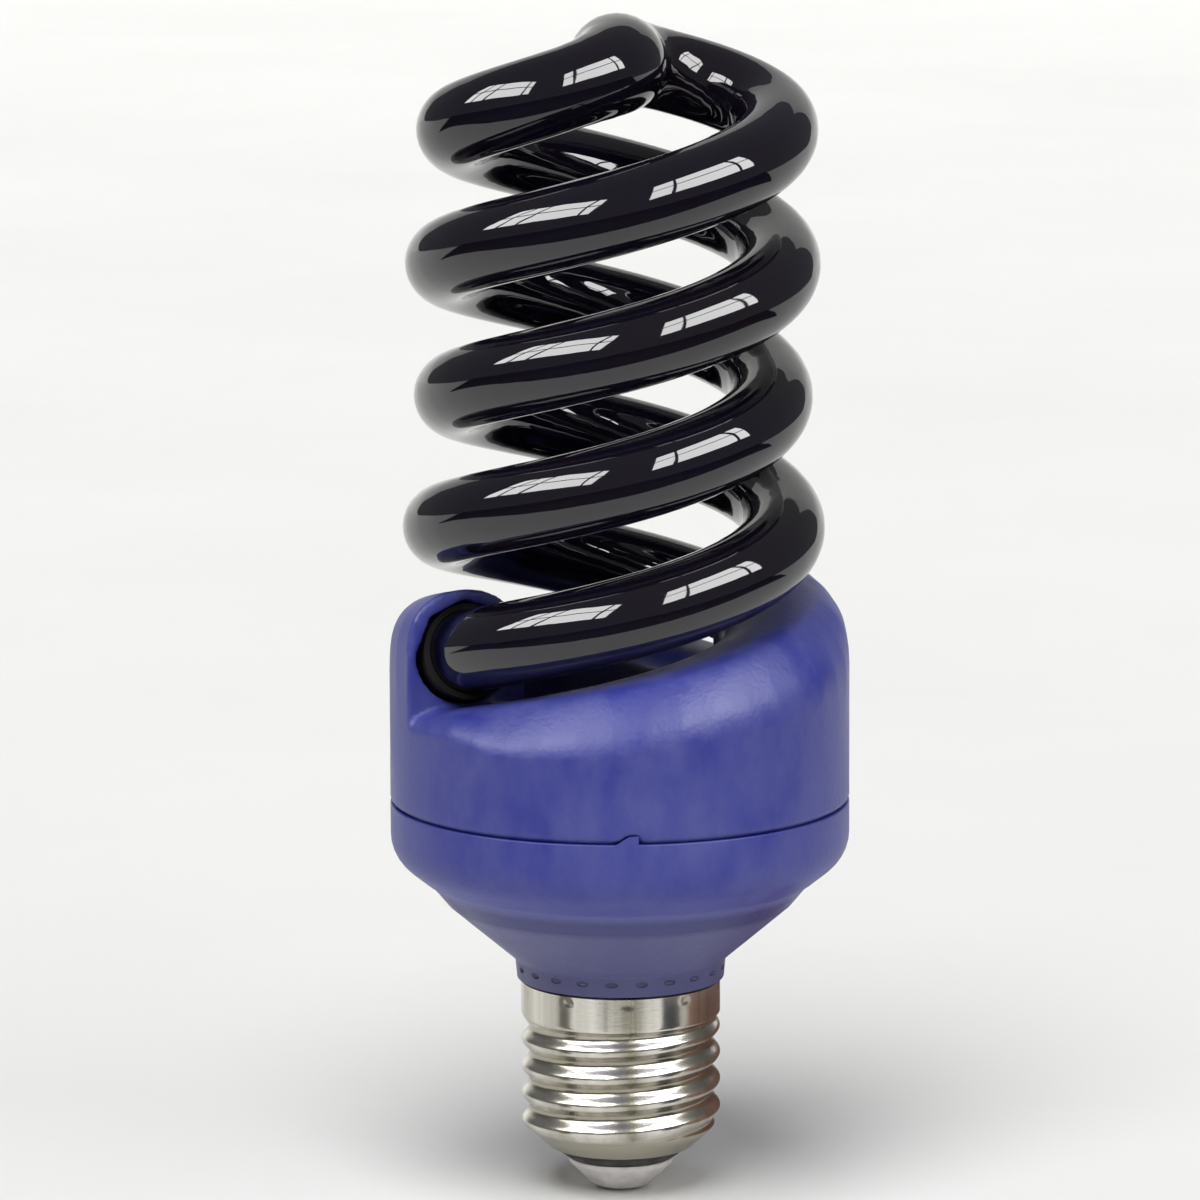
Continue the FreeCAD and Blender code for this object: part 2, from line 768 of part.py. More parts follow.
def ring_band(inner_d, outer_d, low, high, place, start, sweep):
    """Part of a flat ring under the board, between two heights."""
    corners = [(inner_d / 2, low), (outer_d / 2, low), (outer_d / 2, high), (inner_d / 2, high)]
    wire = Part.makePolygon([Vector(x, 0, z) for x, z in corners + corners[:1]])
    band = Part.Face(wire).revolve(Vector(), UP, sweep)
    band.rotate(Vector(), UP, start)
    band.translate(place)
    return band


def drive_toroid():
    """The small ring core that drives the two transistors."""
    top = board_z - winding_thickness - fit_gap
    return ring_band(toroid_bore, toroid_d, top - toroid_height, top, toroid_place, 0, 360)


def drive_windings():
    """Its windings, each a sleeve round part of the ring."""
    top = board_z - winding_thickness - fit_gap
    low = top - toroid_height
    wall = winding_thickness
    half = fit_gap / 2
    lead_in = winding_angle / 12  # of the cut past each end of a sleeve
    sleeves = []
    for i in range(toroid_windings):
        start = 360 * i / toroid_windings
        inner, outer = toroid_bore - 2 * wall, toroid_d + 2 * wall
        whole = ring_band(inner, outer, low - wall, top + wall, toroid_place, start, winding_angle)
        inner, outer, sweep = toroid_bore - fit_gap, toroid_d + fit_gap, winding_angle + 2 * lead_in
        core = ring_band(inner, outer, low - half, top + half, toroid_place, start - lead_in, sweep)
        sleeves.append(whole.cut(core))
    return Part.makeCompound(sleeves)


def switch_transistor(side):
    """A power transistor on edge, with a bevelled face and three legs."""
    body, leg = transistor_size, transistor_leg
    centre = Vector(transistor_x, side * transistor_y, board_z - leg.z - body.z / 2)
    shape = block(body, centre)
    front_edges = [edge for edge in upright_edges(shape) if edge.CenterOfMass.x > centre.x]
    shape = shape.makeChamfer(transistor_bevel, front_edges)
    hole = centre - Vector(0, 0, transistor_hole_drop)
    shape = shape.cut(rod(transistor_hole_d, hole - Vector(body.x, 0, 0), hole + Vector(body.x, 0, 0)))
    legs = []
    for place in (-1, 0, 1):
        foot = Vector(centre.x, centre.y + place * transistor_leg_pitch, board_z - (leg.z + bite) / 2)
        legs.append(block(leg + Vector(0, 0, bite), foot))
    return shape.multiFuse(legs)


def film_capacitor(size, place):
    """A dipped film capacitor: a box with rounded edges."""
    shape = block(size, Vector(place.x, place.y, board_z - size.z / 2))
    shape = shape.makeFillet(min(size.x, size.y) * film_round, upright_edges(shape))
    low = board_z - size.z
    return shape.makeChamfer(film_bevel, [e for e in shape.Edges if abs(e.BoundBox.ZMax - low) < fit_gap])


def axial_part(body_d, length, place, along):
    """A diode or resistor that lies under the board on its two bent leads."""
    middle = Vector(place.x, place.y, board_z - body_d / 2 - axial_lift)
    reach = length / 2 + axial_bend
    shape = rod(body_d, middle - along * (length / 2), middle + along * (length / 2))
    size = Vector(lead_d, lead_d, lead_d) + Vector(abs(along.x), abs(along.y), 0) * (2 * reach)
    legs = [block(size, middle)]
    leg = Vector(lead_d, lead_d, board_z - middle.z + lead_d / 2)
    for side in (-1, 1):
        foot = middle + along * (side * reach)
        legs.append(block(leg, Vector(foot.x, foot.y, board_z - leg.z / 2)))
    return shape.multiFuse(legs)


def filter_inductor_core():
    """A small drum core."""
    radius = drum_core_d / 2
    waist = drum_core_waist_d / 2
    low = board_z - drum_core_height
    drum = revolved(
        [
            (0, low, 0),
            (radius, low, 0),
            (radius, low + drum_core_flange, 0),
            (waist, low + drum_core_flange, 0),
            (waist, board_z - drum_core_flange, 0),
            (radius, board_z - drum_core_flange, 0),
            (radius, board_z, 0),
            (0, board_z, 0),
        ]
    )
    drum.translate(drum_core_place)
    return drum


def filter_inductor_winding():
    """Its winding, between the flanges."""
    low = board_z - drum_core_height + drum_core_flange + fit_gap
    high = board_z - drum_core_flange - fit_gap
    inner = drum_core_waist_d + 2 * fit_gap
    return ring_band(inner, drum_core_d - winding_thickness, low, high, drum_core_place, 0, 360)


# The fuse resistor stands over the insulator, and the supply leads meet it and the shell
fuse_foot_z = insulator_top_z + fuse_lift
fuse_top_z = fuse_foot_z + fuse_length


def fusible_resistor():
    """The fuse resistor in the neck, its lower lead down to the solder."""
    at = lambda z: Vector(0, 0, z)
    body = rod(fuse_d, at(fuse_foot_z), at(fuse_top_z))
    body = body.makeChamfer(fuse_edge, [e for e in body.Edges if e.Curve.TypeId == "Part::GeomCircle"])
    lower = rod(lead_d, at(solder_height), at(fuse_foot_z + bite))
    upper = rod(lead_d, at(fuse_top_z - bite), at(fuse_top_z + fuse_lead))
    return body.multiFuse([lower, upper])


def live_lead():
    """From the board down beside the can and in to the fuse resistor."""
    end_z = fuse_top_z + fuse_lead
    level = end_z + 1.5 * lead_d
    x = capacitor_d / 2 + supply_lead_gap
    y = supply_lead_gap
    path = [Vector(x, y, board_z), Vector(x, y, level), Vector(0, 0, level), Vector(0, 0, end_z)]
    return mitred(path, lead_d)


def neutral_lead():
    """From the board down beside the can and out through the slot to the shell."""
    x = -capacitor_d / 2 - supply_lead_gap
    y = choke_place.y + choke_size.y / 2 + 2.5 * lead_d
    level = neck_foot_z + neck_slot_height / 2
    shell = thread_d / 2 - thread_depth - shell_wall
    path = [
        Vector(x, y, board_z),
        Vector(x, y, collar_top_z + past),
        Vector(x, 0, collar_top_z),
        Vector(x, 0, level),
        Vector(fit_gap / 2 - shell, 0, level),
    ]
    return mitred(path, lead_d)


def lead_start(side):
    """Where a lead leaves the pinch, and the way it leaves."""
    end = arm_point(-turns_of(tail_length))
    along = (arm_points()[1] - end).normalize()
    across = along.cross(UP).normalize()
    point = end - along * (neck_length + press_length) + across * (side * filament_pitch / 2)
    return point, -along


def post_place(side):
    """The foot of a wrap post, on the inner side of its lead, and the lead's own foot."""
    point, away = lead_start(side)
    drop = point + Vector(away.x, away.y, 0).normalize() * filament_run
    outward = Vector(drop.x, drop.y, 0).normalize()
    return Vector(drop.x, drop.y, 0) - outward * (post_d / 2 + lead_d / 2 + fit_gap), drop


def wrap_post(side, turned_by):
    """A pin on the board for one lead of the tube."""
    foot, _ = post_place(side)
    top = board_z + board_thickness
    return turned(rod(post_d, foot + Vector(0, 0, top), foot + Vector(0, 0, top + post_height)), turned_by)


def filament_lead(side, turned_by):
    """A lead from the pinch down to its post, its end wrapped round the post."""
    start, away = lead_start(side)
    foot, drop = post_place(side)
    top = board_z + board_thickness
    level = start.z + away.z * filament_run / math.hypot(away.x, away.y)
    bend = Vector(drop.x, drop.y, level)
    wire = mitred([start, bend, Vector(drop.x, drop.y, top + wrap_z + wrap_height / 2)], lead_d)
    low = foot + Vector(0, 0, top + wrap_z)
    high = low + Vector(0, 0, wrap_height)
    sleeve = rod(post_d + 2 * lead_d + 2 * fit_gap, low, high).cut(rod(post_d + 2 * fit_gap, low, high))
    return turned(wire.fuse(sleeve), turned_by)


pieces = {
    "spiral_tube": spiral_tube(),
    "tube_cement": tube_cement(),
    "tube_holder": tube_holder(),
    "base_cup": base_cup(),
    "screw_shell": screw_shell(),
    "cap_insulator": cap_insulator(),
    "centre_contact": centre_contact(),
    "contact_solder": contact_solder(),
    "circuit_board": circuit_board(),
    "reservoir_capacitor": reservoir_capacitor(),
    "choke_core": choke_core(),
    "choke_bobbin": choke_bobbin(),
    "choke_winding": choke_winding(),
    "drive_toroid": drive_toroid(),
    "drive_windings": drive_windings(),
    "switch_transistor_1": switch_transistor(1),
    "switch_transistor_2": switch_transistor(-1),
    "filter_inductor_core": filter_inductor_core(),
    "filter_inductor_winding": filter_inductor_winding(),
    "trigger_diac": axial_part(diac_d, diac_length, Vector(diac_x, diac_y, 0), Vector(1, 0, 0)),
    "fusible_resistor": fusible_resistor(),
    "live_lead": live_lead(),
    "neutral_lead": neutral_lead(),
}
for name, (size, place) in film_capacitors.items():
    pieces[name] = film_capacitor(size, place)
for name, place in resistors.items():
    pieces[name] = axial_part(resistor_d, resistor_length, place, Vector(0, 1, 0))
for i in range(4):
    place = Vector(diode_x, (i - 1.5) * diode_pitch, 0)
    pieces[f"rectifier_diode_{i + 1}"] = axial_part(diode_d, diode_length, place, Vector(1, 0, 0))
for i, (side, turned_by) in enumerate(((-1, 0), (1, 0), (-1, 180), (1, 180))):
    pieces[f"wrap_post_{i + 1}"] = wrap_post(side, turned_by)
    pieces[f"filament_lead_{i + 1}"] = filament_lead(side, turned_by)

os.makedirs("parts", exist_ok=True)
for name, shape in pieces.items():
    shape.exportStep(f"parts/{name}.step")
    print(f"{name}: {len(shape.Solids)} solid, valid {shape.isValid()}, {shape.Volume / 1000:.3f} cm3")
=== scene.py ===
# %% [markdown]
# # A spiral black light lamp
#
# The lamp is a dark glass tube, bent into a double spiral, that stands in a blue plastic housing on a
# screw cap. The construction is already modelled at its real size. This script gives every piece its
# finish, and models again, smoother, the pieces whose real surface is softer than the construction shows.

# %% Load the fixed frame
import json
import math

import bpy
from mathutils import Matrix, Vector


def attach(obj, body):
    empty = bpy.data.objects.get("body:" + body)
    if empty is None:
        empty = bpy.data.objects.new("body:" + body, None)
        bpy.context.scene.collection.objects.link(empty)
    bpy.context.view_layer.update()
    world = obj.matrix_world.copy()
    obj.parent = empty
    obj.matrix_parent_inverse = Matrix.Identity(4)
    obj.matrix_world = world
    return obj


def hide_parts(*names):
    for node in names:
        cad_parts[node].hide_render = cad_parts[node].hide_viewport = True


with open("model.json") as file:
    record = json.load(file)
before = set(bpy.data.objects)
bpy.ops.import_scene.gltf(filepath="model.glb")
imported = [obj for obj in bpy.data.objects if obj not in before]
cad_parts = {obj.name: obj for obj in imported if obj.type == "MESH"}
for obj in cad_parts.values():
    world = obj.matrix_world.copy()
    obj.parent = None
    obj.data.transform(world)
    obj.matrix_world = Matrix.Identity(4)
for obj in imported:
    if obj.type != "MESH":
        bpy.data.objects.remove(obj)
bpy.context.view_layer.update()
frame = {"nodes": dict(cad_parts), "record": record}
print("pieces in the frame:", len(frame["nodes"]))

# %% [markdown]
# ## Units
#
# Blender works in metres and the lamp is measured in millimetres, so a size is written with `mm` beside it,
# or turned into metres where it is used. Angles are in radians inside the formulas.

# %% Units
mm = 0.001
full_turn = 2 * math.pi

# %% [markdown]
# ## Camera
#
# The photograph was taken from about 0.9 m with a long lens, a little above the lamp. The camera's place was
# found by matching the thread, the seam and the coils. A long lens keeps the lamp's sides almost parallel.

# %% Camera
picture_px = 1200
focal_px = 7016.0
camera_distance = 0.90096
camera_height = 0.2369
look_down = math.radians(9.968)
roll = math.radians(0.215)
lamp_axis_px = 619.1
sensor = 36.0
nearest = 0.01

lens = bpy.data.cameras.new("camera")
lens.sensor_width = sensor
lens.lens = sensor * focal_px / picture_px
lens.shift_x = -(lamp_axis_px - picture_px / 2) / picture_px
lens.clip_start = nearest
camera = bpy.data.objects.new("camera", lens)
camera.location = (0, -camera_distance, camera_height)
camera.rotation_euler = (math.pi / 2 - look_down, 0, 0)
camera.rotation_euler.rotate_axis("Z", -roll)
bpy.context.collection.objects.link(camera)
bpy.context.scene.camera = camera
print(f"camera: {lens.lens:.0f} mm lens at {camera_distance:.2f} m")

# %% [markdown]
# ## Studio light
#
# Two broad suns and a faint grey world light the lamp and the floor. Softboxes would do it too, but a sun is
# as bright far behind the lamp as near it, so the floor stays even. Reflections don't see the suns, which
# would be hard white dots in the glass.

# %% Suns and world
world_level = 0.14


def away_from_lamp(azimuth, elevation):
    """A direction from the lamp, in degrees. Azimuth 0 is the camera's side, and it grows to the right."""
    side, up = math.radians(azimuth), math.radians(elevation)
    return Vector((math.sin(side) * math.cos(up), -math.cos(side) * math.cos(up), math.sin(up)))


def place_light(name, light, away, location=(0, 0, 0)):
    """Puts a light into the scene, turned to shine back along the direction away from the lamp."""
    holder = bpy.data.objects.new(name, light)
    holder.location = location
    holder.rotation_euler = away.to_track_quat("Z", "Y").to_euler()
    holder.visible_camera = False
    bpy.context.collection.objects.link(holder)
    return holder


def sun(name, azimuth, elevation, level, softness):
    """A far light. A level of 1 makes a surface that faces it as bright as its own colour."""
    light = bpy.data.lights.new(name, "SUN")
    light.energy = level * math.pi
    light.angle = math.radians(softness)
    holder = place_light(name, light, away_from_lamp(azimuth, elevation))
    holder.visible_glossy = False


sun("key", azimuth=-14, elevation=62, level=0.82, softness=40)
sun("fill", azimuth=48, elevation=36, level=0.20, softness=50)
world = bpy.data.worlds.new("studio")
world.use_nodes = True
background = world.node_tree.nodes["Background"]
background.inputs["Color"].default_value = (1, 1, 1, 1)
background.inputs["Strength"].default_value = world_level
bpy.context.scene.world = world
bpy.context.scene.view_settings.view_transform = "Standard"
print("suns:", len(bpy.data.lights), "and a world of level", world_level)

# %% [markdown]
# ## What the glass and the metal mirror
#
# Dark glass and bright metal show little of their own colour: they show what stands round them. So, as a
# photographer would, the script sets up things that only reflections see. First come two windows with bars,
# high in front. Each is a flat grid of glowing panes, because one large pane would show no bars. Further
# down, once there are materials, follow a dark cloth and low cards round the cap.

# %% Windows
lamp_middle_z = 0.085
window_distance = 0.9
bar = 0.03


def panel(name, away, middle, width, height, radiance):
    """A glowing panel that only reflections see."""
    light = bpy.data.lights.new(name, "AREA")
    light.shape = "RECTANGLE"
    light.size = width
    light.size_y = height
    light.energy = radiance * math.pi * width * height
    holder = place_light(name, light, away, middle)
    holder.visible_diffuse = False


def window(name, azimuth, elevation, columns, height, radiance):
    """Panes in one upright plane, split by bars: a list of column widths, each column two panes high."""
    away = away_from_lamp(azimuth, elevation)
    middle = Vector((0, 0, lamp_middle_z)) + away * window_distance
    flat = Vector((away.x, away.y, 0)).normalized()
    across = flat.cross(Vector((0, 0, 1)))
    left = -(sum(columns) + bar * (len(columns) - 1)) / 2
    for i, width in enumerate(columns):
        column = middle + across * (left + width / 2)
        for row in (-1, 1):
            place = column + Vector((0, 0, row * (height + bar) / 4))
            panel(f"{name}_{i + 1}_{row}", flat, place, width, (height - bar) / 2, radiance)
        left += width + bar
    print(f"{name}: {2 * len(columns)} panes")


window(
    "left_window",
    azimuth=-50,
    elevation=42,
    columns=(0.10, 0.46, 0.16, 0.12),
    height=0.55,
    radiance=9.0,
)
window(
    "right_window",
    azimuth=50,
    elevation=44,
    columns=(0.12, 0.46, 0.16),
    height=0.62,
    radiance=9.0,
)

# %% [markdown]
# ## Node groups for the materials
#
# Two effects are used by every finish. A group is built once and used many times, as a function is, so each
# effect is a group. Both read the place of a point on its object, in metres, and can stretch the pattern
# along the height: a Stretch below 1 draws it out into upright streaks, and above 1 into level lines.

# %% Helpers for node groups
FLOAT, COLOUR, VECTOR = "NodeSocketFloat", "NodeSocketColor", "NodeSocketVector"
MIX_FIRST, MIX_SECOND, MIX_RESULT = 6, 7, 2  # the colour sockets of a Mix node, whose names repeat


def new_group(name, inputs, outputs):
    """An empty node group with named sockets: (name, kind, value) for each input."""
    group = bpy.data.node_groups.new(name, "ShaderNodeTree")
    for label, kind, value in inputs:
        socket = group.interface.new_socket(name=label, in_out="INPUT", socket_type=kind)
        socket.default_value = value
    for label, kind in outputs:
        group.interface.new_socket(name=label, in_out="OUTPUT", socket_type=kind)
    return group, group.nodes.new("NodeGroupInput"), group.nodes.new("NodeGroupOutput")


def stretched_place(group, given):
    """The place of a point on its object, with its height multiplied by the group's Stretch."""
    place = group.nodes.new("ShaderNodeTexCoord")
    spread = group.nodes.new("ShaderNodeCombineXYZ")
    spread.inputs["X"].default_value = 1.0
    spread.inputs["Y"].default_value = 1.0
    scaled = group.nodes.new("ShaderNodeVectorMath")
    scaled.operation = "MULTIPLY"
    group.links.new(given.outputs["Stretch"], spread.inputs["Z"])
    group.links.new(place.outputs["Object"], scaled.inputs[0])
    group.links.new(spread.outputs["Vector"], scaled.inputs[1])
    return scaled.outputs["Vector"]


# %% [markdown]
# `cloudy colour` drifts between two colours, as moulded plastic, glass and handled metal do. Its mask is
# handed out too, so that a cloud can be rougher as well as paler.

# %% Node group: cloudy colour
cloudy, given, result = new_group(
    "cloudy colour",
    [
        ("Colour", COLOUR, (0.5, 0.5, 0.5, 1)),
        ("Other Colour", COLOUR, (0.4, 0.4, 0.4, 1)),
        ("Scale", FLOAT, 120.0),
        ("Stretch", FLOAT, 1.0),
    ],
    [("Colour", COLOUR), ("Mask", FLOAT)],
)
clouds = cloudy.nodes.new("ShaderNodeTexNoise")
clouds.inputs["Detail"].default_value = 5.0
clouds.inputs["Roughness"].default_value = 0.6
contrast = cloudy.nodes.new("ShaderNodeMapRange")
contrast.inputs["From Min"].default_value = 0.35
contrast.inputs["From Max"].default_value = 0.65
blend = cloudy.nodes.new("ShaderNodeMix")
blend.data_type = "RGBA"
join = cloudy.links.new
join(stretched_place(cloudy, given), clouds.inputs["Vector"])
join(given.outputs["Scale"], clouds.inputs["Scale"])
join(clouds.outputs["Fac"], contrast.inputs["Value"])
join(contrast.outputs["Result"], blend.inputs["Factor"])
join(given.outputs["Colour"], blend.inputs[MIX_FIRST])
join(given.outputs["Other Colour"], blend.inputs[MIX_SECOND])
join(blend.outputs[MIX_RESULT], result.inputs["Colour"])
join(contrast.outputs["Result"], result.inputs["Mask"])
print("node group:", cloudy.name)

# %% [markdown]
# `fine relief` roughens the surface: the grain of a mould, the brushing of metal or the ripple of drawn
# glass. It is a bump and not modelled, because it is finer than any mesh here.

# %% Node group: fine relief
relief, given, result = new_group(
    "fine relief",
    [("Scale", FLOAT, 2500.0), ("Height", FLOAT, 0.00002), ("Stretch", FLOAT, 1.0)],
    [("Normal", VECTOR), ("Mask", FLOAT)],
)
grain = relief.nodes.new("ShaderNodeTexNoise")
grain.inputs["Detail"].default_value = 3.0
raised = relief.nodes.new("ShaderNodeBump")
join = relief.links.new
join(stretched_place(relief, given), grain.inputs["Vector"])
join(given.outputs["Scale"], grain.inputs["Scale"])
join(given.outputs["Height"], raised.inputs["Distance"])
join(grain.outputs["Fac"], raised.inputs["Height"])
join(raised.outputs["Normal"], result.inputs["Normal"])
join(grain.outputs["Fac"], result.inputs["Mask"])
print("node group:", relief.name)

# %% [markdown]
# ## One function for all finishes
#
# Every finish is a Principled shader fed by the two groups. What differs is the pair of colours, how rough
# the surface is where the clouds are thin and thick, and the grain. Settings that are the same all over the
# surface, such as Metallic, sit on the shader itself.

# %% Colours and finishes
slots = {}


def colour(red, green, blue):
    """A colour as a picture shows it, 0 to 255, made linear for the shaders by the standard sRGB curve."""
    linear = []
    for level in (red, green, blue):
        share = level / 255
        linear.append(((share + 0.055) / 1.055) ** 2.4 if level > 10 else share / 12.92)
    return (*linear, 1.0)


def finish(name, first, second, roughness, cloud=(120.0, 1.0), grain=(2500.0, 0.00002, 1.0), **plain):
    """A material that drifts between two colours and two roughnesses, with a fine relief.

    cloud is its scale and stretch, and grain is its scale, its height in metres and its stretch.
    """
    material = bpy.data.materials.new(name)
    material.use_nodes = True
    tree = material.node_tree
    shader = tree.nodes["Principled BSDF"]
    clouds = tree.nodes.new("ShaderNodeGroup")
    clouds.node_tree = cloudy
    surface = tree.nodes.new("ShaderNodeGroup")
    surface.node_tree = relief
    rough = tree.nodes.new("ShaderNodeMapRange")
    for node, names, values in [
        (clouds, ("Colour", "Other Colour"), (first, second)),
        (clouds, ("Scale", "Stretch"), cloud),
        (surface, ("Scale", "Height", "Stretch"), grain),
        (rough, ("To Min", "To Max"), roughness),
    ]:
        for socket, value in zip(names, values):
            node.inputs[socket].default_value = value
    tree.links.new(clouds.outputs["Colour"], shader.inputs["Base Color"])
    tree.links.new(clouds.outputs["Mask"], rough.inputs["Value"])
    tree.links.new(rough.outputs["Result"], shader.inputs["Roughness"])
    tree.links.new(surface.outputs["Normal"], shader.inputs["Normal"])
    for socket, value in plain.items():
        shader.inputs[socket.replace("_", " ")].default_value = value
    slots[name] = material
    return material


# %% [markdown]
# ## What shows: glass, plastic and metal
#
# The tube's glass is so dark that it is almost a mirror, with a slow ripple left by the drawing. The plastic
# has a mould's grain and pale clouds. The nickel is brushed round the axis, so its grain and clouds are
# squeezed or drawn out along the height.

# %% Finishes of the outside
dark_glass = finish(
    "dark_glass",
    colour(12, 12, 26),
    colour(17, 11, 20),
    (0.02, 0.05),
    cloud=(60, 1),
    grain=(90, 0.00006, 1),
    IOR=1.7,
)
blue_plastic = finish(
    "blue_plastic",
    colour(50, 56, 146),
    colour(72, 77, 152),
    (0.38, 0.5),
    cloud=(170, 0.6),
    grain=(1500, 0.00005, 1),
)
nickel = finish(
    "nickel",
    colour(232, 228, 220),
    colour(158, 154, 138),
    (0.18, 0.28),
    cloud=(150, 0.03),
    grain=(700, 0.00002, 4),
    Metallic=1.0,
)
contact_metal = finish(
    "contact_metal",
    colour(236, 232, 230),
    colour(214, 210, 208),
    (0.4, 0.5),
    cloud=(400, 1),
    grain=(1500, 0.00003, 1),
    Metallic=0.4,
)
cap_glass = finish(
    "cap_glass",
    colour(14, 12, 13),
    colour(24, 20, 18),
    (0.3, 0.5),
    cloud=(500, 1),
    grain=(900, 0.00005, 1),
    Specular_IOR_Level=0.2,
)
finish("solder", colour(190, 190, 192), colour(160, 160, 162), (0.3, 0.45), cloud=(900, 1), Metallic=0.9)
# The cement is a real part, but its near-black colour stands in for the shade inside the tube's mouth:
# painted shade.
finish("cement", colour(9, 6, 9), colour(15, 11, 14), (0.9, 1.0), grain=(1800, 0.0001, 1))

# %% [markdown]
# ## What is inside
#
# The board and its components are closed in, but the part can be cut open, so they have real finishes too:
# dipped and moulded coats are smooth, ferrite and epoxy are dull, and the winding's grain is drawn into
# wires.

# %% Finishes of the inside
finish(
    "board",
    colour(150, 112, 64),
    colour(132, 98, 56),
    (0.5, 0.6),
    cloud=(300, 1),
    grain=(1200, 0.00003, 1),
)
finish(
    "ferrite",
    colour(48, 48, 50),
    colour(60, 60, 62),
    (0.7, 0.85),
    cloud=(700, 1),
    grain=(3000, 0.00004, 1),
)
finish(
    "copper",
    colour(178, 92, 44),
    colour(150, 72, 34),
    (0.25, 0.4),
    grain=(2000, 0.00012, 0.05),
    Metallic=0.8,
)
finish("can_sleeve", colour(24, 24, 28), colour(32, 32, 36), (0.25, 0.35))
finish("bobbin", colour(38, 34, 32), colour(48, 44, 42), (0.45, 0.55))
finish("epoxy", colour(30, 30, 32), colour(40, 40, 42), (0.55, 0.7), grain=(3500, 0.00003, 1))
finish("film_coat", colour(150, 52, 30), colour(132, 42, 26), (0.15, 0.3), grain=(900, 0.00006, 1))
finish("resistor_coat", colour(196, 164, 118), colour(180, 146, 100), (0.3, 0.45))
finish("fuse_coat", colour(70, 110, 92), colour(58, 94, 80), (0.6, 0.75))
finish("lead_sleeve", colour(196, 190, 180), colour(180, 172, 160), (0.5, 0.6))
finish("tinned_wire", colour(200, 198, 194), colour(176, 172, 166), (0.2, 0.35), Metallic=1.0)
print("finishes:", len(slots))

# %% [markdown]
# The record names the finish of every piece of the construction, so one loop hands them all out.

# %% Finishes onto the construction
for part in frame["record"]["subparts"]:
    node = frame["nodes"][part["node"]]
    node.data.materials.clear()
    node.data.materials.append(slots[part["material_slot"]])

# %% [markdown]
# ## Painted shade in the hollows
#
# The rolled thread is painted duller and darker in its valleys, and the staked pits of the collar are
# painted
# darker too: both are painted shade. Painting that by hand would need an image. Instead one more group tells
# how
# deep a point lies: it compares its distance from the axis with two radii, in millimetres.

# %% Node group: depth below a radius
deep, given, result = new_group(
    "depth below a radius", [("Outer", FLOAT, 13.0), ("Inner", FLOAT, 12.0)], [("Mask", FLOAT)]
)
place = deep.nodes.new("ShaderNodeTexCoord")
flat = deep.nodes.new("ShaderNodeVectorMath")
flat.operation = "MULTIPLY"
flat.inputs[1].default_value = (1 / mm, 1 / mm, 0)
radius = deep.nodes.new("ShaderNodeVectorMath")
radius.operation = "LENGTH"
valley = deep.nodes.new("ShaderNodeMapRange")
join = deep.links.new
join(place.outputs["Object"], flat.inputs[0])
join(flat.outputs["Vector"], radius.inputs[0])
join(radius.outputs["Value"], valley.inputs["Value"])
join(given.outputs["Outer"], valley.inputs["From Min"])
join(given.outputs["Inner"], valley.inputs["From Max"])
join(valley.outputs["Result"], result.inputs["Mask"])
print("node group:", deep.name)

# %% [markdown]
# The group's mask then lays a duller or darker colour, as painted shade, over the finish that is already
# there.

# %% Painted shade in the valleys and the pits
def tint_where(material, mask, second):
    """Lays a second colour over the base colour of a material where a mask says so."""
    tree = material.node_tree
    shader = tree.nodes["Principled BSDF"]
    blend = tree.nodes.new("ShaderNodeMix")
    blend.data_type = "RGBA"
    tree.links.new(mask, blend.inputs["Factor"])
    tree.links.new(shader.inputs["Base Color"].links[0].from_socket, blend.inputs[MIX_FIRST])
    if isinstance(second, bpy.types.NodeSocket):
        tree.links.new(second, blend.inputs[MIX_SECOND])
    else:
        blend.inputs[MIX_SECOND].default_value = second
    tree.links.new(blend.outputs[MIX_RESULT], shader.inputs["Base Color"])


# Painted shade: a duller, darker nickel in the thread's valleys, and a dark blue in the collar's pits, along
# its lower edge and on the hidden plastic nearer the axis.
for material, outer, inner, shade in [
    (nickel, 12.5, 12.1, colour(168, 163, 148)),
    (blue_plastic, 13.62, 13.5, colour(26, 28, 76)),
]:
    depth = material.node_tree.nodes.new("ShaderNodeGroup")
    depth.node_tree = deep
    depth.inputs["Outer"].default_value = outer
    depth.inputs["Inner"].default_value = inner
    tint_where(material, depth.outputs["Mask"], shade)
    print(f"{material.name}: tinted from radius {outer} to {inner} mm")

# %% [markdown]
# The plastic is painted unevenly from top to bottom: the funnel paler and greyer than the drum, as painted
# light, the hollow ring above it darker, as painted shade, and a pale line along the lip, as a painted
# highlight. A colour ramp along the height carries this, and its alpha says how much. Heights are in metres.

# %% Painted light and shade on the plastic by height
ramp_foot = 0.028
ramp_top = 0.044
# Painted light on the funnel, painted shade in the hollow ring and a painted highlight along the lip:
# height, colour and strength of each stop.
painted_tones = [
    (0.029, (86, 86, 126), 0.8),
    (0.038, (92, 92, 134), 0.8),
    (0.0388, (62, 62, 106), 0.7),
    (0.0404, (54, 56, 104), 0.7),
    (0.0416, (100, 102, 160), 0.6),
    (0.0426, (60, 64, 148), 0.0),
]
tree = blue_plastic.node_tree
place = tree.nodes.new("ShaderNodeTexCoord")
split = tree.nodes.new("ShaderNodeSeparateXYZ")
height = tree.nodes.new("ShaderNodeMapRange")
height.inputs["From Min"].default_value = ramp_foot
height.inputs["From Max"].default_value = ramp_top
ramp = tree.nodes.new("ShaderNodeValToRGB")
while len(ramp.color_ramp.elements) < len(painted_tones):
    ramp.color_ramp.elements.new(0.5)  # anywhere, as its place is set below
for stop, (z, tone, strength) in zip(ramp.color_ramp.elements, painted_tones):
    stop.position = (z - ramp_foot) / (ramp_top - ramp_foot)
    stop.color = colour(*tone)[:3] + (strength,)
tree.links.new(place.outputs["Object"], split.inputs["Vector"])
tree.links.new(split.outputs["Z"], height.inputs["Value"])
tree.links.new(height.outputs["Result"], ramp.inputs["Fac"])
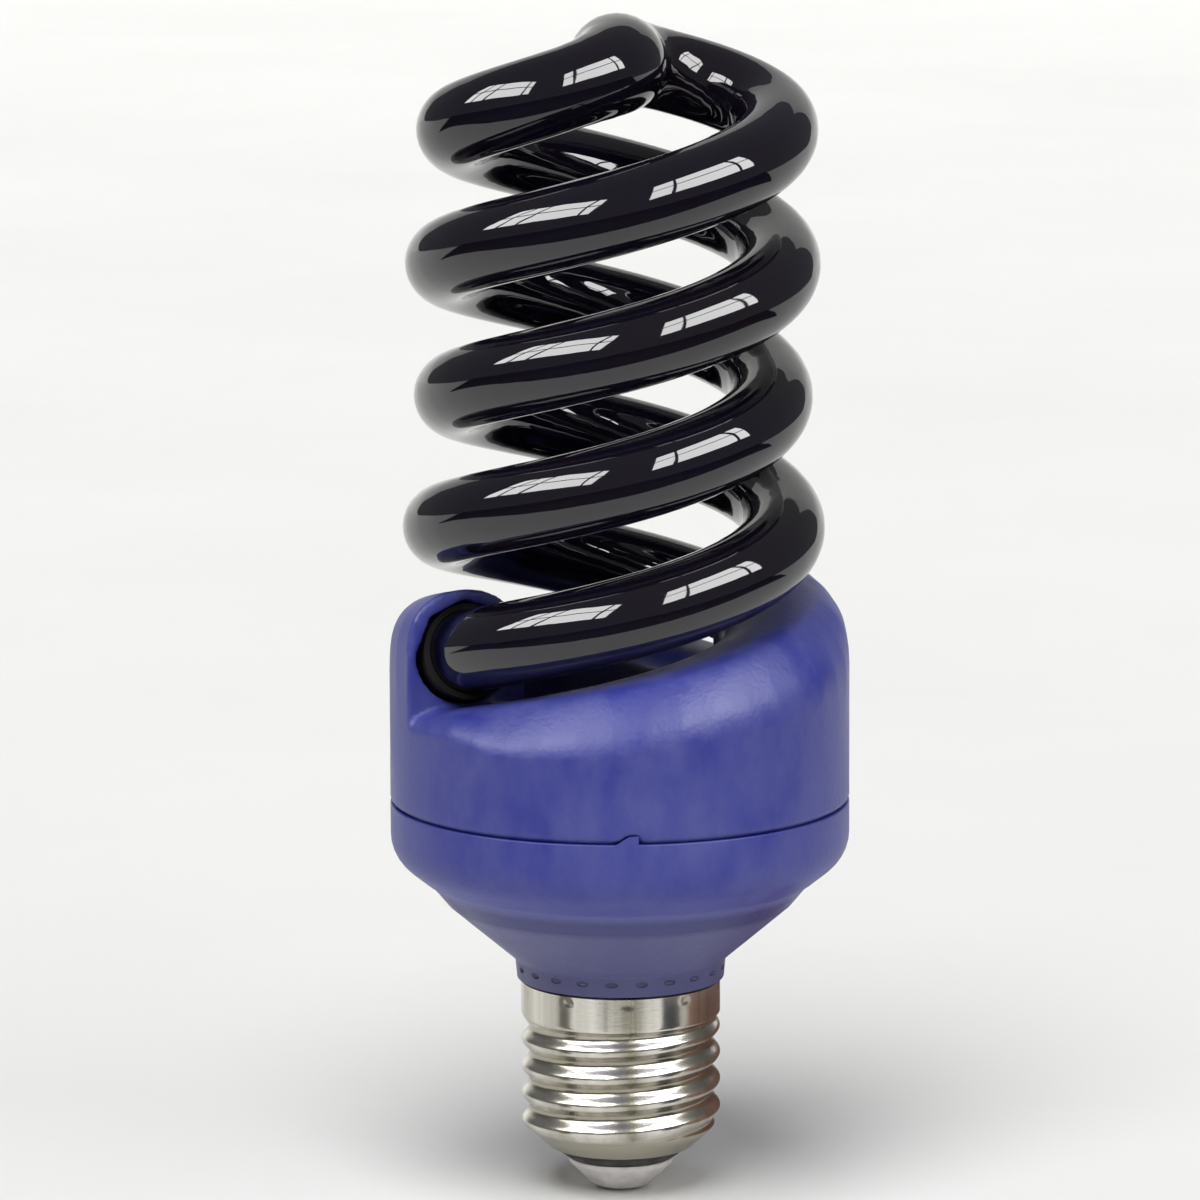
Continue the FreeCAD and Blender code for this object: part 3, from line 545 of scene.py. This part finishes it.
tint_where(blue_plastic, ramp.outputs["Alpha"], ramp.outputs["Color"])
print("tones of the plastic:", len(painted_tones))

# %% [markdown]
# ## Helpers for pieces
#
# An operator acts on all that is selected. That is why each new piece starts with nothing selected, and why
# a piece is picked before an operator changes it. At the end each piece is settled in the same way.

# %% Start, pick and settle a piece
def start_fresh():
    """Leaves edit mode and selects nothing."""
    if bpy.context.object and bpy.context.object.mode != "OBJECT":
        bpy.ops.object.mode_set(mode="OBJECT")
    bpy.ops.object.select_all(action="DESELECT")


def pick(piece):
    """Makes one piece the selected and active one."""
    start_fresh()
    piece.select_set(True)
    bpy.context.view_layer.objects.active = piece


def settle(piece, name, material):
    """Names a finished piece, moves its place into its mesh and gives it its material."""
    pick(piece)
    bpy.ops.object.transform_apply(location=True, rotation=True, scale=True)
    piece.name = name
    piece.data.materials.clear()
    piece.data.materials.append(material)
    triangles = sum(len(face.vertices) - 2 for face in piece.data.polygons)
    print(f"{name}: {triangles} triangles")
    return piece


# %% [markdown]
# ## Floor and backdrop
#
# A pale sweep: a floor that turns up into a wall behind the lamp, so that no corner shows. A plane's far
# edge is extruded in small steps round the bend and then straight up. The sweep is only half as wide as it
# is deep, because its narrow wall gives the glass narrow bright rims.

# %% Floor
floor_depth = 8
floor_width_share = 0.5
floor_y = -2
bend_steps = 12
bend_radius = 0.8
wall_height = 1.6
floor_paint = finish(
    "floor_paint",
    colour(240, 240, 238),
    colour(236, 236, 234),
    (0.9, 1.0),
    cloud=(4, 1),
    grain=(300, 0.00001, 1),
    Specular_IOR_Level=0.0,
)

start_fresh()
bpy.ops.mesh.primitive_plane_add(size=floor_depth, location=(0, floor_y, 0))
floor = bpy.context.object
floor.scale.x = floor_width_share
bpy.ops.object.mode_set(mode="EDIT")
bpy.ops.mesh.select_all(action="DESELECT")
bpy.ops.object.mode_set(mode="OBJECT")
for edge in floor.data.edges:
    edge.select = all(floor.data.vertices[i].co.y > 0 for i in edge.vertices)
bpy.ops.object.mode_set(mode="EDIT")
length = bend_radius * math.pi / 2 / bend_steps
for i in range(bend_steps):
    angle = math.pi / 2 * (i + 0.5) / bend_steps
    step = (0, length * math.cos(angle), length * math.sin(angle))
    bpy.ops.mesh.extrude_region_move(TRANSFORM_OT_translate={"value": step})
bpy.ops.mesh.extrude_region_move(TRANSFORM_OT_translate={"value": (0, 0, wall_height)})
bpy.ops.object.mode_set(mode="OBJECT")
bpy.ops.object.shade_smooth()
settle(floor, "floor", floor_paint)

# %% [markdown]
# The underside of each coil mirrors the floor. A dark cloth, from a hand's length before the lamp and
# further off at the sides, gives it its grey band. The cloth is a ring that is cut off just behind the lamp.
# Only reflections see it: neither the camera nor the soft light does.

# %% Dark cloth
cloth_from = 0.19
cloth_from_side = 0.40
cloth_to = 0.10
cloth_points = 48
cloth_middle = (0, 0, 0.001)
cloth_spread = (20, 40, 1)  # how many times wider and deeper the outer rim is than the inner one
black_cloth = finish("black_cloth", colour(14, 14, 16), colour(20, 20, 22), (0.9, 1.0))


def only_mirrored(piece):
    """Hides a stage piece from the camera and from soft light, so that only reflections see it."""
    piece.visible_camera = False
    piece.visible_diffuse = False
    piece.visible_shadow = False


start_fresh()
bpy.ops.mesh.primitive_circle_add(vertices=cloth_points, radius=cloth_from, location=cloth_middle)
cloth = bpy.context.object
bpy.ops.object.mode_set(mode="EDIT")
bpy.ops.mesh.select_all(action="SELECT")
bpy.ops.transform.resize(value=(cloth_from_side / cloth_from, 1, 1), center_override=cloth_middle)
bpy.ops.mesh.extrude_region_move()
bpy.ops.transform.resize(value=cloth_spread, center_override=cloth_middle)
bpy.ops.mesh.select_all(action="SELECT")
bpy.ops.mesh.bisect(plane_co=(0, cloth_to, 0), plane_no=(0, 1, 0), clear_outer=True)
bpy.ops.object.mode_set(mode="OBJECT")
only_mirrored(settle(cloth, "dark_cloth", black_cloth))

# %% [markdown]
# Bright metal needs something dark beside it, or it looks like white paint. Low cards stand close round the
# cap and give it its upright stripes. They are meshes and not lights, because a light hides nothing behind
# it, and they are low and near, so that hardly any of them shows in the glass above.

# %% Low cards round the cap
card_height = 0.024
card_distance = 0.034
card_mottle = 10
for name, azimuth, width, tone in [
    ("brown_card", 112, 0.058, (186, 146, 134)),
    ("olive_strip", -56, 0.007, (104, 100, 80)),
    ("thin_strip", -14, 0.0015, (110, 106, 86)),
    ("grey_strip", 50, 0.012, (90, 94, 102)),
]:
    paper = finish(name, colour(*tone), colour(*[c - card_mottle for c in tone]), (0.8, 0.9))
    place = away_from_lamp(azimuth, 0) * card_distance + Vector((0, 0, card_height / 2))
    start_fresh()
    bpy.ops.mesh.primitive_plane_add(size=1, location=place)
    card = bpy.context.object
    card.scale = (width, card_height, 1)
    card.rotation_euler = (math.pi / 2, 0, math.radians(azimuth))
    only_mirrored(settle(card, name, paper))

# %% [markdown]
# ## The glass spiral
#
# The real tube is one piece of glass, heated and wound round a grooved drum. A curve with a round bevel does
# the same: its points are set one by one along the path, each with its own radius, and the curve becomes a
# mesh. A screw modifier would make a perfect helix, but one arm leans a little to one side, and both close
# towards the top and turn into the bridge there.

# %% Points and even steps
def polar(radius, angle, z=0.0):
    """A point from its radius, its angle about the lamp's axis in radians, and its height."""
    return Vector((radius * math.cos(angle), radius * math.sin(angle), z))


def smooth(share):
    """An even start and stop between 0 and 1."""
    share = min(1.0, max(0.0, share))
    return share * share * (3 - 2 * share)


# %% [markdown]
# Each arm starts with a short tail inside the housing, climbs two turns, and ends at a half loop that brings
# it to the axis, where the two arms meet. The arm and the half loop are two formulas, one in turns and one
# in shares of the loop.

# %% Arms and bridge
tube_d = 10.75 * mm
coil_d = 42.9 * mm
coil_top_d = 41.1 * mm
coil_pitch = 34.5 * mm
coil_turns = 1.952
taper_from_turns = 0.43
mouth_angle = math.radians(205)
mouth_z = 73.5 * mm
bridge_rise = 7.9 * mm
cold_spot_d = 12.8 * mm
cold_spot_share = 0.42  # of the half loop that the swelling takes up
arm_shift = -1.3 * mm
arm_shift_turns = 0.25
tail_length = 10.5 * mm
points_per_turn = 36


def arm_point(turns, shift):
    """A point on the first arm's centreline, counted in turns from its mouth."""
    closing = max(0.0, turns - taper_from_turns) / (coil_turns - taper_from_turns)
    radius = (coil_d + (coil_top_d - coil_d) * closing) / 2
    lean = shift * smooth(turns / arm_shift_turns) * smooth((coil_turns - turns) / arm_shift_turns)
    on_coil = polar(radius, mouth_angle + full_turn * turns, mouth_z + coil_pitch * turns)
    return on_coil + Vector((lean, 0, 0))


def bridge_point(share):
    """A point on the half loop that carries the first arm on to the axis."""
    top_angle = mouth_angle + full_turn * coil_turns
    rise = coil_pitch / 4 * share * (1 - share) ** 2 + bridge_rise * smooth(share)
    top_z = mouth_z + coil_pitch * coil_turns
    loop_middle = polar(coil_top_d / 4, top_angle)
    return loop_middle + polar(coil_top_d / 4, top_angle + math.pi * share, top_z + rise)


# %% [markdown]
# The path joins them. The tube's radius grows towards the crossing, where the glass was blown out a little.
# The second arm is the first one turned half round, with a lean of its own.

# %% Path of the glass
tail_turns = tail_length / math.hypot(math.pi * coil_d, coil_pitch)
arm_steps = round((coil_turns + tail_turns) * points_per_turn)
bridge_steps = points_per_turn // 3


def half_path(shift):
    """Points and radii from the end of one tail to just before the crossing."""
    found = []
    for i in range(arm_steps):
        turns = -tail_turns + (coil_turns + tail_turns) * i / arm_steps
        found.append((arm_point(turns, shift), tube_d / 2))
    for i in range(bridge_steps):
        share = i / bridge_steps
        swelling = smooth((share - 1 + cold_spot_share) / cold_spot_share)
        found.append((bridge_point(share), tube_d / 2 + (cold_spot_d - tube_d) / 2 * swelling))
    return found


half_turn = Matrix.Rotation(math.pi, 3, "Z")
first = half_path(0.0)
second = [(half_turn @ point, radius) for point, radius in half_path(-arm_shift)]
path = first + [(bridge_point(1.0), cold_spot_d / 2)] + second[::-1]
print("points along the glass:", len(path))

# %% [markdown]
# The path tool gives a curve to start from. Its points are deleted and the ones above are added, with
# automatic handles, which bend evenly from point to point. The bevel has a depth of 1, so that each point's
# radius is the tube's radius there.

# %% Bend the glass
start_fresh()
bpy.ops.curve.primitive_nurbs_path_add()
glass = bpy.context.object
bpy.ops.object.mode_set(mode="EDIT")
bpy.ops.curve.select_all(action="SELECT")
bpy.ops.curve.delete(type="VERT")
for point, _ in path:
    bpy.ops.curve.vertex_add(location=point)
bpy.ops.curve.select_all(action="SELECT")
bpy.ops.curve.handle_type_set(type="AUTOMATIC")
bpy.ops.object.mode_set(mode="OBJECT")
curve = glass.data
for knot, (point, radius) in zip(curve.splines[0].bezier_points, path):
    knot.radius = radius
curve.dimensions = "3D"
curve.resolution_u = 5
curve.bevel_depth = 1.0
curve.bevel_resolution = 14
curve.use_fill_caps = True
curve.twist_mode = "MINIMUM"
pick(glass)
bpy.ops.object.convert(target="MESH")
glass = bpy.context.object
bpy.ops.object.shade_smooth()
settle(glass, "glass_spiral", dark_glass)
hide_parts("spiral_tube")
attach(glass, "root")

# %% [markdown]
# ## The upper shell
#
# The construction holds the true form of the two ramps, with sharp edges. A moulding has none. A bevel would
# fail where so many curved faces meet, so a copy of the piece is merged into one skin, remeshed into small
# even faces and smoothed, which rounds every edge by a few tenths of a millimetre.

# %% Upper shell
weld = 0.002 * mm  # points nearer to each other than this become one
voxel = 0.4 * mm
smoothing = 0.5
smoothing_passes = 6
kept_faces = 0.5

start_fresh()
upper_shell = bpy.data.objects.new("upper_shell", frame["nodes"]["tube_holder"].data.copy())
bpy.context.collection.objects.link(upper_shell)
pick(upper_shell)
bpy.ops.object.mode_set(mode="EDIT")
bpy.ops.mesh.select_all(action="SELECT")
bpy.ops.mesh.remove_doubles(threshold=weld)
bpy.ops.object.mode_set(mode="OBJECT")
remesh = upper_shell.modifiers.new("even faces", "REMESH")
remesh.mode = "VOXEL"
remesh.voxel_size = voxel
remesh.use_smooth_shade = True
bpy.ops.object.modifier_apply(modifier=remesh.name)
rounding = upper_shell.modifiers.new("rounding", "SMOOTH")
rounding.factor = smoothing
rounding.iterations = smoothing_passes
bpy.ops.object.modifier_apply(modifier=rounding.name)
thinner = upper_shell.modifiers.new("fewer faces", "DECIMATE")
thinner.ratio = kept_faces
bpy.ops.object.modifier_apply(modifier=thinner.name)
bpy.ops.object.shade_smooth()
settle(upper_shell, "upper_shell", blue_plastic)

# %% [markdown]
# The smoothing has also drawn the shell in a little. So the points of its upper part are moved out again by
# a small share that grows with their height, and the shoulder of each ramp is pressed down, most at the rim
# and not at all by the tube. The two ramps are alike, so one angle, counted from the mouth before it, serves
# both. The sizes are in millimetres and degrees.

# %% Press the shoulders
ramp_spacing = 180  # degrees from one ramp to the next
ramp_from = 15
ramp_to = 160
ramp_blend = 22
shoulder_drop = 1.9
shoulder_inner_r = 24.5
shoulder_outer_r = 29.0
drop_from_z = 53
drop_blend = 8
widening = 0.014
widen_from_z = 54
widen_blend = 12
widest_r = 30.04
for vertex in upper_shell.data.vertices:
    x, y, z = vertex.co / mm
    radius = math.hypot(x, y)
    along = math.degrees(math.atan2(y, x) - mouth_angle) % ramp_spacing
    on_ramp = smooth((along - ramp_from) / ramp_blend) * smooth((ramp_to - along) / ramp_blend)
    at_rim = smooth((radius - shoulder_inner_r) / (shoulder_outer_r - shoulder_inner_r))
    vertex.co.z -= shoulder_drop * mm * on_ramp * at_rim * smooth((z - drop_from_z) / drop_blend)
    out = 1 + widening * smooth((z - widen_from_z) / widen_blend)
    out = min(out, widest_r / max(radius, 1))
    vertex.co.x = x * mm * out
    vertex.co.y = y * mm * out
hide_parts("tube_holder")
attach(upper_shell, "root")
print(f"shoulders pressed by up to {shoulder_drop} mm")

# %% [markdown]
# ## Turned pieces
#
# The lower shell and the cap are round, so each is a profile that is extruded corner by corner and spun
# about the axis. A corner with a radius gets the points of its arc first. A screw modifier on a drawn curve
# would do the same, with the roundings harder to say in numbers.

# %% Rounded profiles
def rounded(corners, steps=5):
    """The points of a profile: each corner is (radius, height) or (radius, height, rounding), in mm."""
    points = []
    for i, (x, z, *rounding) in enumerate(corners):
        here = Vector((x, z))
        if not rounding:
            points.append(here)
            continue
        back = (Vector(corners[i - 1][:2]) - here).normalized()
        on = (Vector(corners[(i + 1) % len(corners)][:2]) - here).normalized()
        half = back.angle(on) / 2
        centre = here + (back + on).normalized() * rounding[0] / math.sin(half)
        start = here + back * rounding[0] / math.tan(half) - centre
        end = here + on * rounding[0] / math.tan(half) - centre
        turn = start.angle_signed(end)
        for k in range(steps + 1):
            points.append(centre + Matrix.Rotation(-turn * k / steps, 2) @ start)
    return points


# %% [markdown]
# The spin starts from a plane that is merged into a single point, because a profile needs one point to be
# extruded from. After the spin, the doubled points where it closes become one.

# %% Spin a profile
crease = math.radians(40)  # an edge that turns by more than this stays crisp


def spun(name, points, material, steps=144):
    """A solid of revolution, spun from a closed profile."""
    start_fresh()
    first = points[0]
    bpy.ops.mesh.primitive_plane_add(size=mm)
    piece = bpy.context.object
    bpy.ops.object.mode_set(mode="EDIT")
    bpy.ops.mesh.select_all(action="SELECT")
    bpy.ops.mesh.merge(type="CENTER")
    bpy.ops.transform.translate(value=(first.x * mm, 0, first.y * mm))
    for before, here in zip(points, points[1:] + points[:1]):
        step = (here - before) * mm
        bpy.ops.mesh.extrude_region_move(TRANSFORM_OT_translate={"value": (step.x, 0, step.y)})
    bpy.ops.mesh.select_all(action="SELECT")
    bpy.ops.mesh.spin(steps=steps, angle=full_turn, center=(0, 0, 0), axis=(0, 0, 1))
    bpy.ops.mesh.select_all(action="SELECT")
    bpy.ops.mesh.remove_doubles(threshold=weld)
    bpy.ops.mesh.normals_make_consistent(inside=False)
    bpy.ops.object.mode_set(mode="OBJECT")
    bpy.ops.object.shade_smooth_by_angle(angle=crease)
    return settle(piece, name, material)


# %% [markdown]
# ## The lower shell
#
# A drum, a rounded shoulder, a hollow ring under a crisp lip, a funnel and a collar that the metal cap is
# staked to. The profile starts with the sleeve inside the cap, runs up the outside, over the seam and down
# the inside. It was measured as corners, and only those that catch the light are rounded.

# %% Lower shell
housing_r = 30.05
seam_z = 52.2
cap_top_z = 28.5
lower_shell = spun(
    "lower_shell",
    rounded(
        [
            (10.35, 12.5),
            (11.65, 12.5),
            (11.65, cap_top_z),
            (13.6, cap_top_z, 0.15),
            (13.85, 31.2, 0.6),
            (22.7, 38.75, 0.3),
            (25.2, 41.75, 0.15),
            (25.8, 42.0, 0.2),
            (housing_r, 45.4, 5.5),
            (housing_r, seam_z, 0.15),
            (28.75, seam_z),
            (28.75, 46.0),
            (24.4, 42.6),
            (10.35, 30.0),
        ]
    ),
    blue_plastic,
)

# %% [markdown]
# The metal cap is held by staking: a tool presses a row of small pits into the collar. One pit is modelled
# as a flattened ball, copied round the collar, and all of them are cut out in one boolean step, which is
# quicker and safer than one step each.

# %% Pits of the staking
pits = 22
pit_turn = math.radians(265.1)
pit_z = 30.2
pit_size = (0.7, 1.7, 0.75)  # into the collar, along it and up
collar_r = 13.74
start_fresh()
bpy.ops.mesh.primitive_uv_sphere_add(segments=16, ring_count=10, radius=mm / 2)
pit = bpy.context.object
bpy.ops.transform.resize(value=pit_size)
bpy.ops.object.transform_apply(location=False, rotation=False, scale=True)
balls = []
for i in range(pits):
    angle = pit_turn + full_turn * i / pits
    ball = pit.copy()
    ball.data = pit.data.copy()
    ball.location = polar(collar_r * mm, angle, pit_z * mm)
    ball.rotation_euler = (0, 0, angle)
    bpy.context.collection.objects.link(ball)
    balls.append(ball)
bpy.data.objects.remove(pit)
start_fresh()
for ball in balls:
    ball.select_set(True)
bpy.context.view_layer.objects.active = balls[0]
bpy.ops.object.join()
cutter = bpy.context.object
cut = lower_shell.modifiers.new("pits", "BOOLEAN")
cut.operation = "DIFFERENCE"
cut.solver = "EXACT"
cut.object = cutter
pick(lower_shell)
bpy.ops.object.modifier_apply(modifier=cut.name)
bpy.data.objects.remove(cutter)
print("pits in the collar:", pits)

# %% [markdown]
# A small key at the front keeps the two shells from turning on each other. It is a block with one slanted
# side, cut into strips so that its outer face can follow the round of the drum. The loop reads each point
# of the block as shares from 0 to 1: across it, into the wall and up.

# %% Key on the seam
key_width = 3.2
key_height = 1.1
key_sunk = 0.2  # how far it reaches down into the lower shell
key_slant = 2.0
key_wall = 1.0
key_cuts = 7
start_fresh()
bpy.ops.mesh.primitive_cube_add(size=1)
seam_key = bpy.context.object
bpy.ops.object.mode_set(mode="EDIT")
bpy.ops.mesh.select_all(action="SELECT")
bpy.ops.mesh.subdivide(number_cuts=key_cuts)
bpy.ops.object.mode_set(mode="OBJECT")
for vertex in seam_key.data.vertices:
    across, inward, up = vertex.co + Vector((0.5, 0.5, 0.5))
    left = -key_width / 4 + key_slant * up
    x = left + (key_width * 3 / 4 - left) * across
    radius = housing_r - key_wall * inward
    z = seam_z - key_sunk + (key_height + key_sunk) * up
    vertex.co = Vector((x, -math.sqrt(radius**2 - x**2), z)) * mm
settle(seam_key, "seam_key", blue_plastic)
start_fresh()
seam_key.select_set(True)
lower_shell.select_set(True)
bpy.context.view_layer.objects.active = lower_shell
bpy.ops.object.join()
bpy.ops.object.shade_smooth_by_angle(angle=crease)
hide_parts("base_cup")
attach(lower_shell, "root")

# %% [markdown]
# ## The screw shell
#
# The cap's thread is rolled into thin sheet, so crests and valleys are one even wave that climbs as it goes
# round. The wave grows at the foot of the thread and dies out under the plain band at the top, and a narrow
# neck is left below the collar.

# %% Thread
thread_d = 26.2
thread_depth = 1.05
thread_pitch = 3.629
thread_first_z = 8.6
thread_last_z = 23.2
thread_phase_z = 14.68
wave_at_first = 0.7  # share of the wave at the first height, before it is smoothed
wave_growth = 2  # share of the wave that each pitch adds
wave_at_last = 0.5
band_at_last = 0.3  # share of the plain band at the last height
band_blend = 1.1
nose_d = 17.6
nose_z = 5.15
neck_height = 0.35
neck_depth = 0.5


def thread_radius(z, angle):
    """The outer radius of the screw shell, in millimetres."""
    if z > cap_top_z - neck_height:
        return thread_d / 2 - neck_depth
    mean = (thread_d - thread_depth) / 2
    wave = math.cos(full_turn * (z - thread_phase_z) / thread_pitch - angle)
    growing = smooth(wave_at_first + wave_growth * (z - thread_first_z) / thread_pitch)
    ending = smooth(wave_at_last + (thread_last_z - z) / thread_pitch)
    if z < thread_first_z:
        mean = nose_d / 2 + (mean - nose_d / 2) * (z - nose_z) / (thread_first_z - nose_z)
    plain = smooth((z - thread_last_z) / band_blend + band_at_last)
    threaded = mean + thread_depth / 2 * wave * growing * ending
    return threaded + (thread_d / 2 - threaded) * plain


# %% [markdown]
# The shell is spun with many rows, and each outer point is then moved out or in by the wave at its height
# and angle. A ring of small dimples in the plain band, where the cap was punched onto the collar, is pressed
# in by the same loop.

# %% Screw shell
ring_z = 5.9  # where the black ring takes over from the metal
shell_bore_r = 11.75
bore_foot_z = 9.4
nose_bore_r = 9.0
row_height = 0.2
shell_steps = 160
outer_skin = 0.05  # a point further in than this belongs to the bore
dimples = 10
dimple_z = 27.3
dimple_d = 1.2
dimple_depth = 0.18
dimple_fall = 2
dimple_turn = 0.61  # of the step between two dimples

rows = round((cap_top_z - ring_z) / row_height)
heights = [ring_z + i * (cap_top_z - ring_z) / rows for i in range(rows + 1)]
outer_side = [Vector((thread_radius(z, 0), z)) for z in heights]
inner_side = [
    Vector((shell_bore_r, cap_top_z)),
    Vector((shell_bore_r, bore_foot_z)),
    Vector((nose_bore_r, ring_z)),
]
screw_shell = spun("screw_cap", outer_side + inner_side, nickel, steps=shell_steps)
for vertex in screw_shell.data.vertices:
    radius = math.hypot(vertex.co.x, vertex.co.y) / mm
    z = vertex.co.z / mm
    if radius < thread_radius(z, 0) - outer_skin:
        continue
    angle = math.atan2(vertex.co.y, vertex.co.x)
    here = Vector((vertex.co.x / mm, vertex.co.y / mm, z))
    radius = thread_radius(z, angle)
    for i in range(dimples):
        centre = polar(thread_d / 2, full_turn * (i + dimple_turn) / dimples, dimple_z)
        near = (here - centre).length / (dimple_d / 2)
        radius -= dimple_depth * math.exp(-near * near * dimple_fall)
    vertex.co.x = radius * mm * math.cos(angle)
    vertex.co.y = radius * mm * math.sin(angle)
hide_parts("screw_shell")
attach(screw_shell, "root")
print("rows of the screw shell:", rows)

# %% [markdown]
# ## The nose of the cap
#
# A black glass ring closes the cap, and the contact sits on it like a shallow dish with a drop of solder.
# They are turned pieces too, with the small roundings that catch the light.

# %% Black ring
nose_steps = 96
insulator = spun(
    "glass_ring",
    rounded([(1.3, 4.2), (7.0, 4.2), (9.25, 5.85, 0.4), (9.3, 6.2), (11.0, 8.4), (1.3, 8.4)]),
    cap_glass,
    steps=nose_steps,
)
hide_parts("cap_insulator")
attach(insulator, "root")

# %% [markdown]
# The contact is a thin pressed dish, so its profile goes out along the underside and back along the top.
# More steps in its roundings keep the large one, which lies at the very tip, free of facets.

# %% Contact
contact_arc_steps = 8
contact = spun(
    "contact_dish",
    rounded(
        [
            (0.85, 0.25),
            (3.6, 0.25, 2.0),
            (7.0, 3.6, 1.0),
            (7.0, 4.2, 0.1),
            (6.6, 4.2),
            (6.6, 3.75),
            (3.4, 0.65, 1.5),
            (0.85, 0.65),
        ],
        steps=contact_arc_steps,
    ),
    contact_metal,
    steps=nose_steps,
)
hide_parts("centre_contact")
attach(contact, "root")
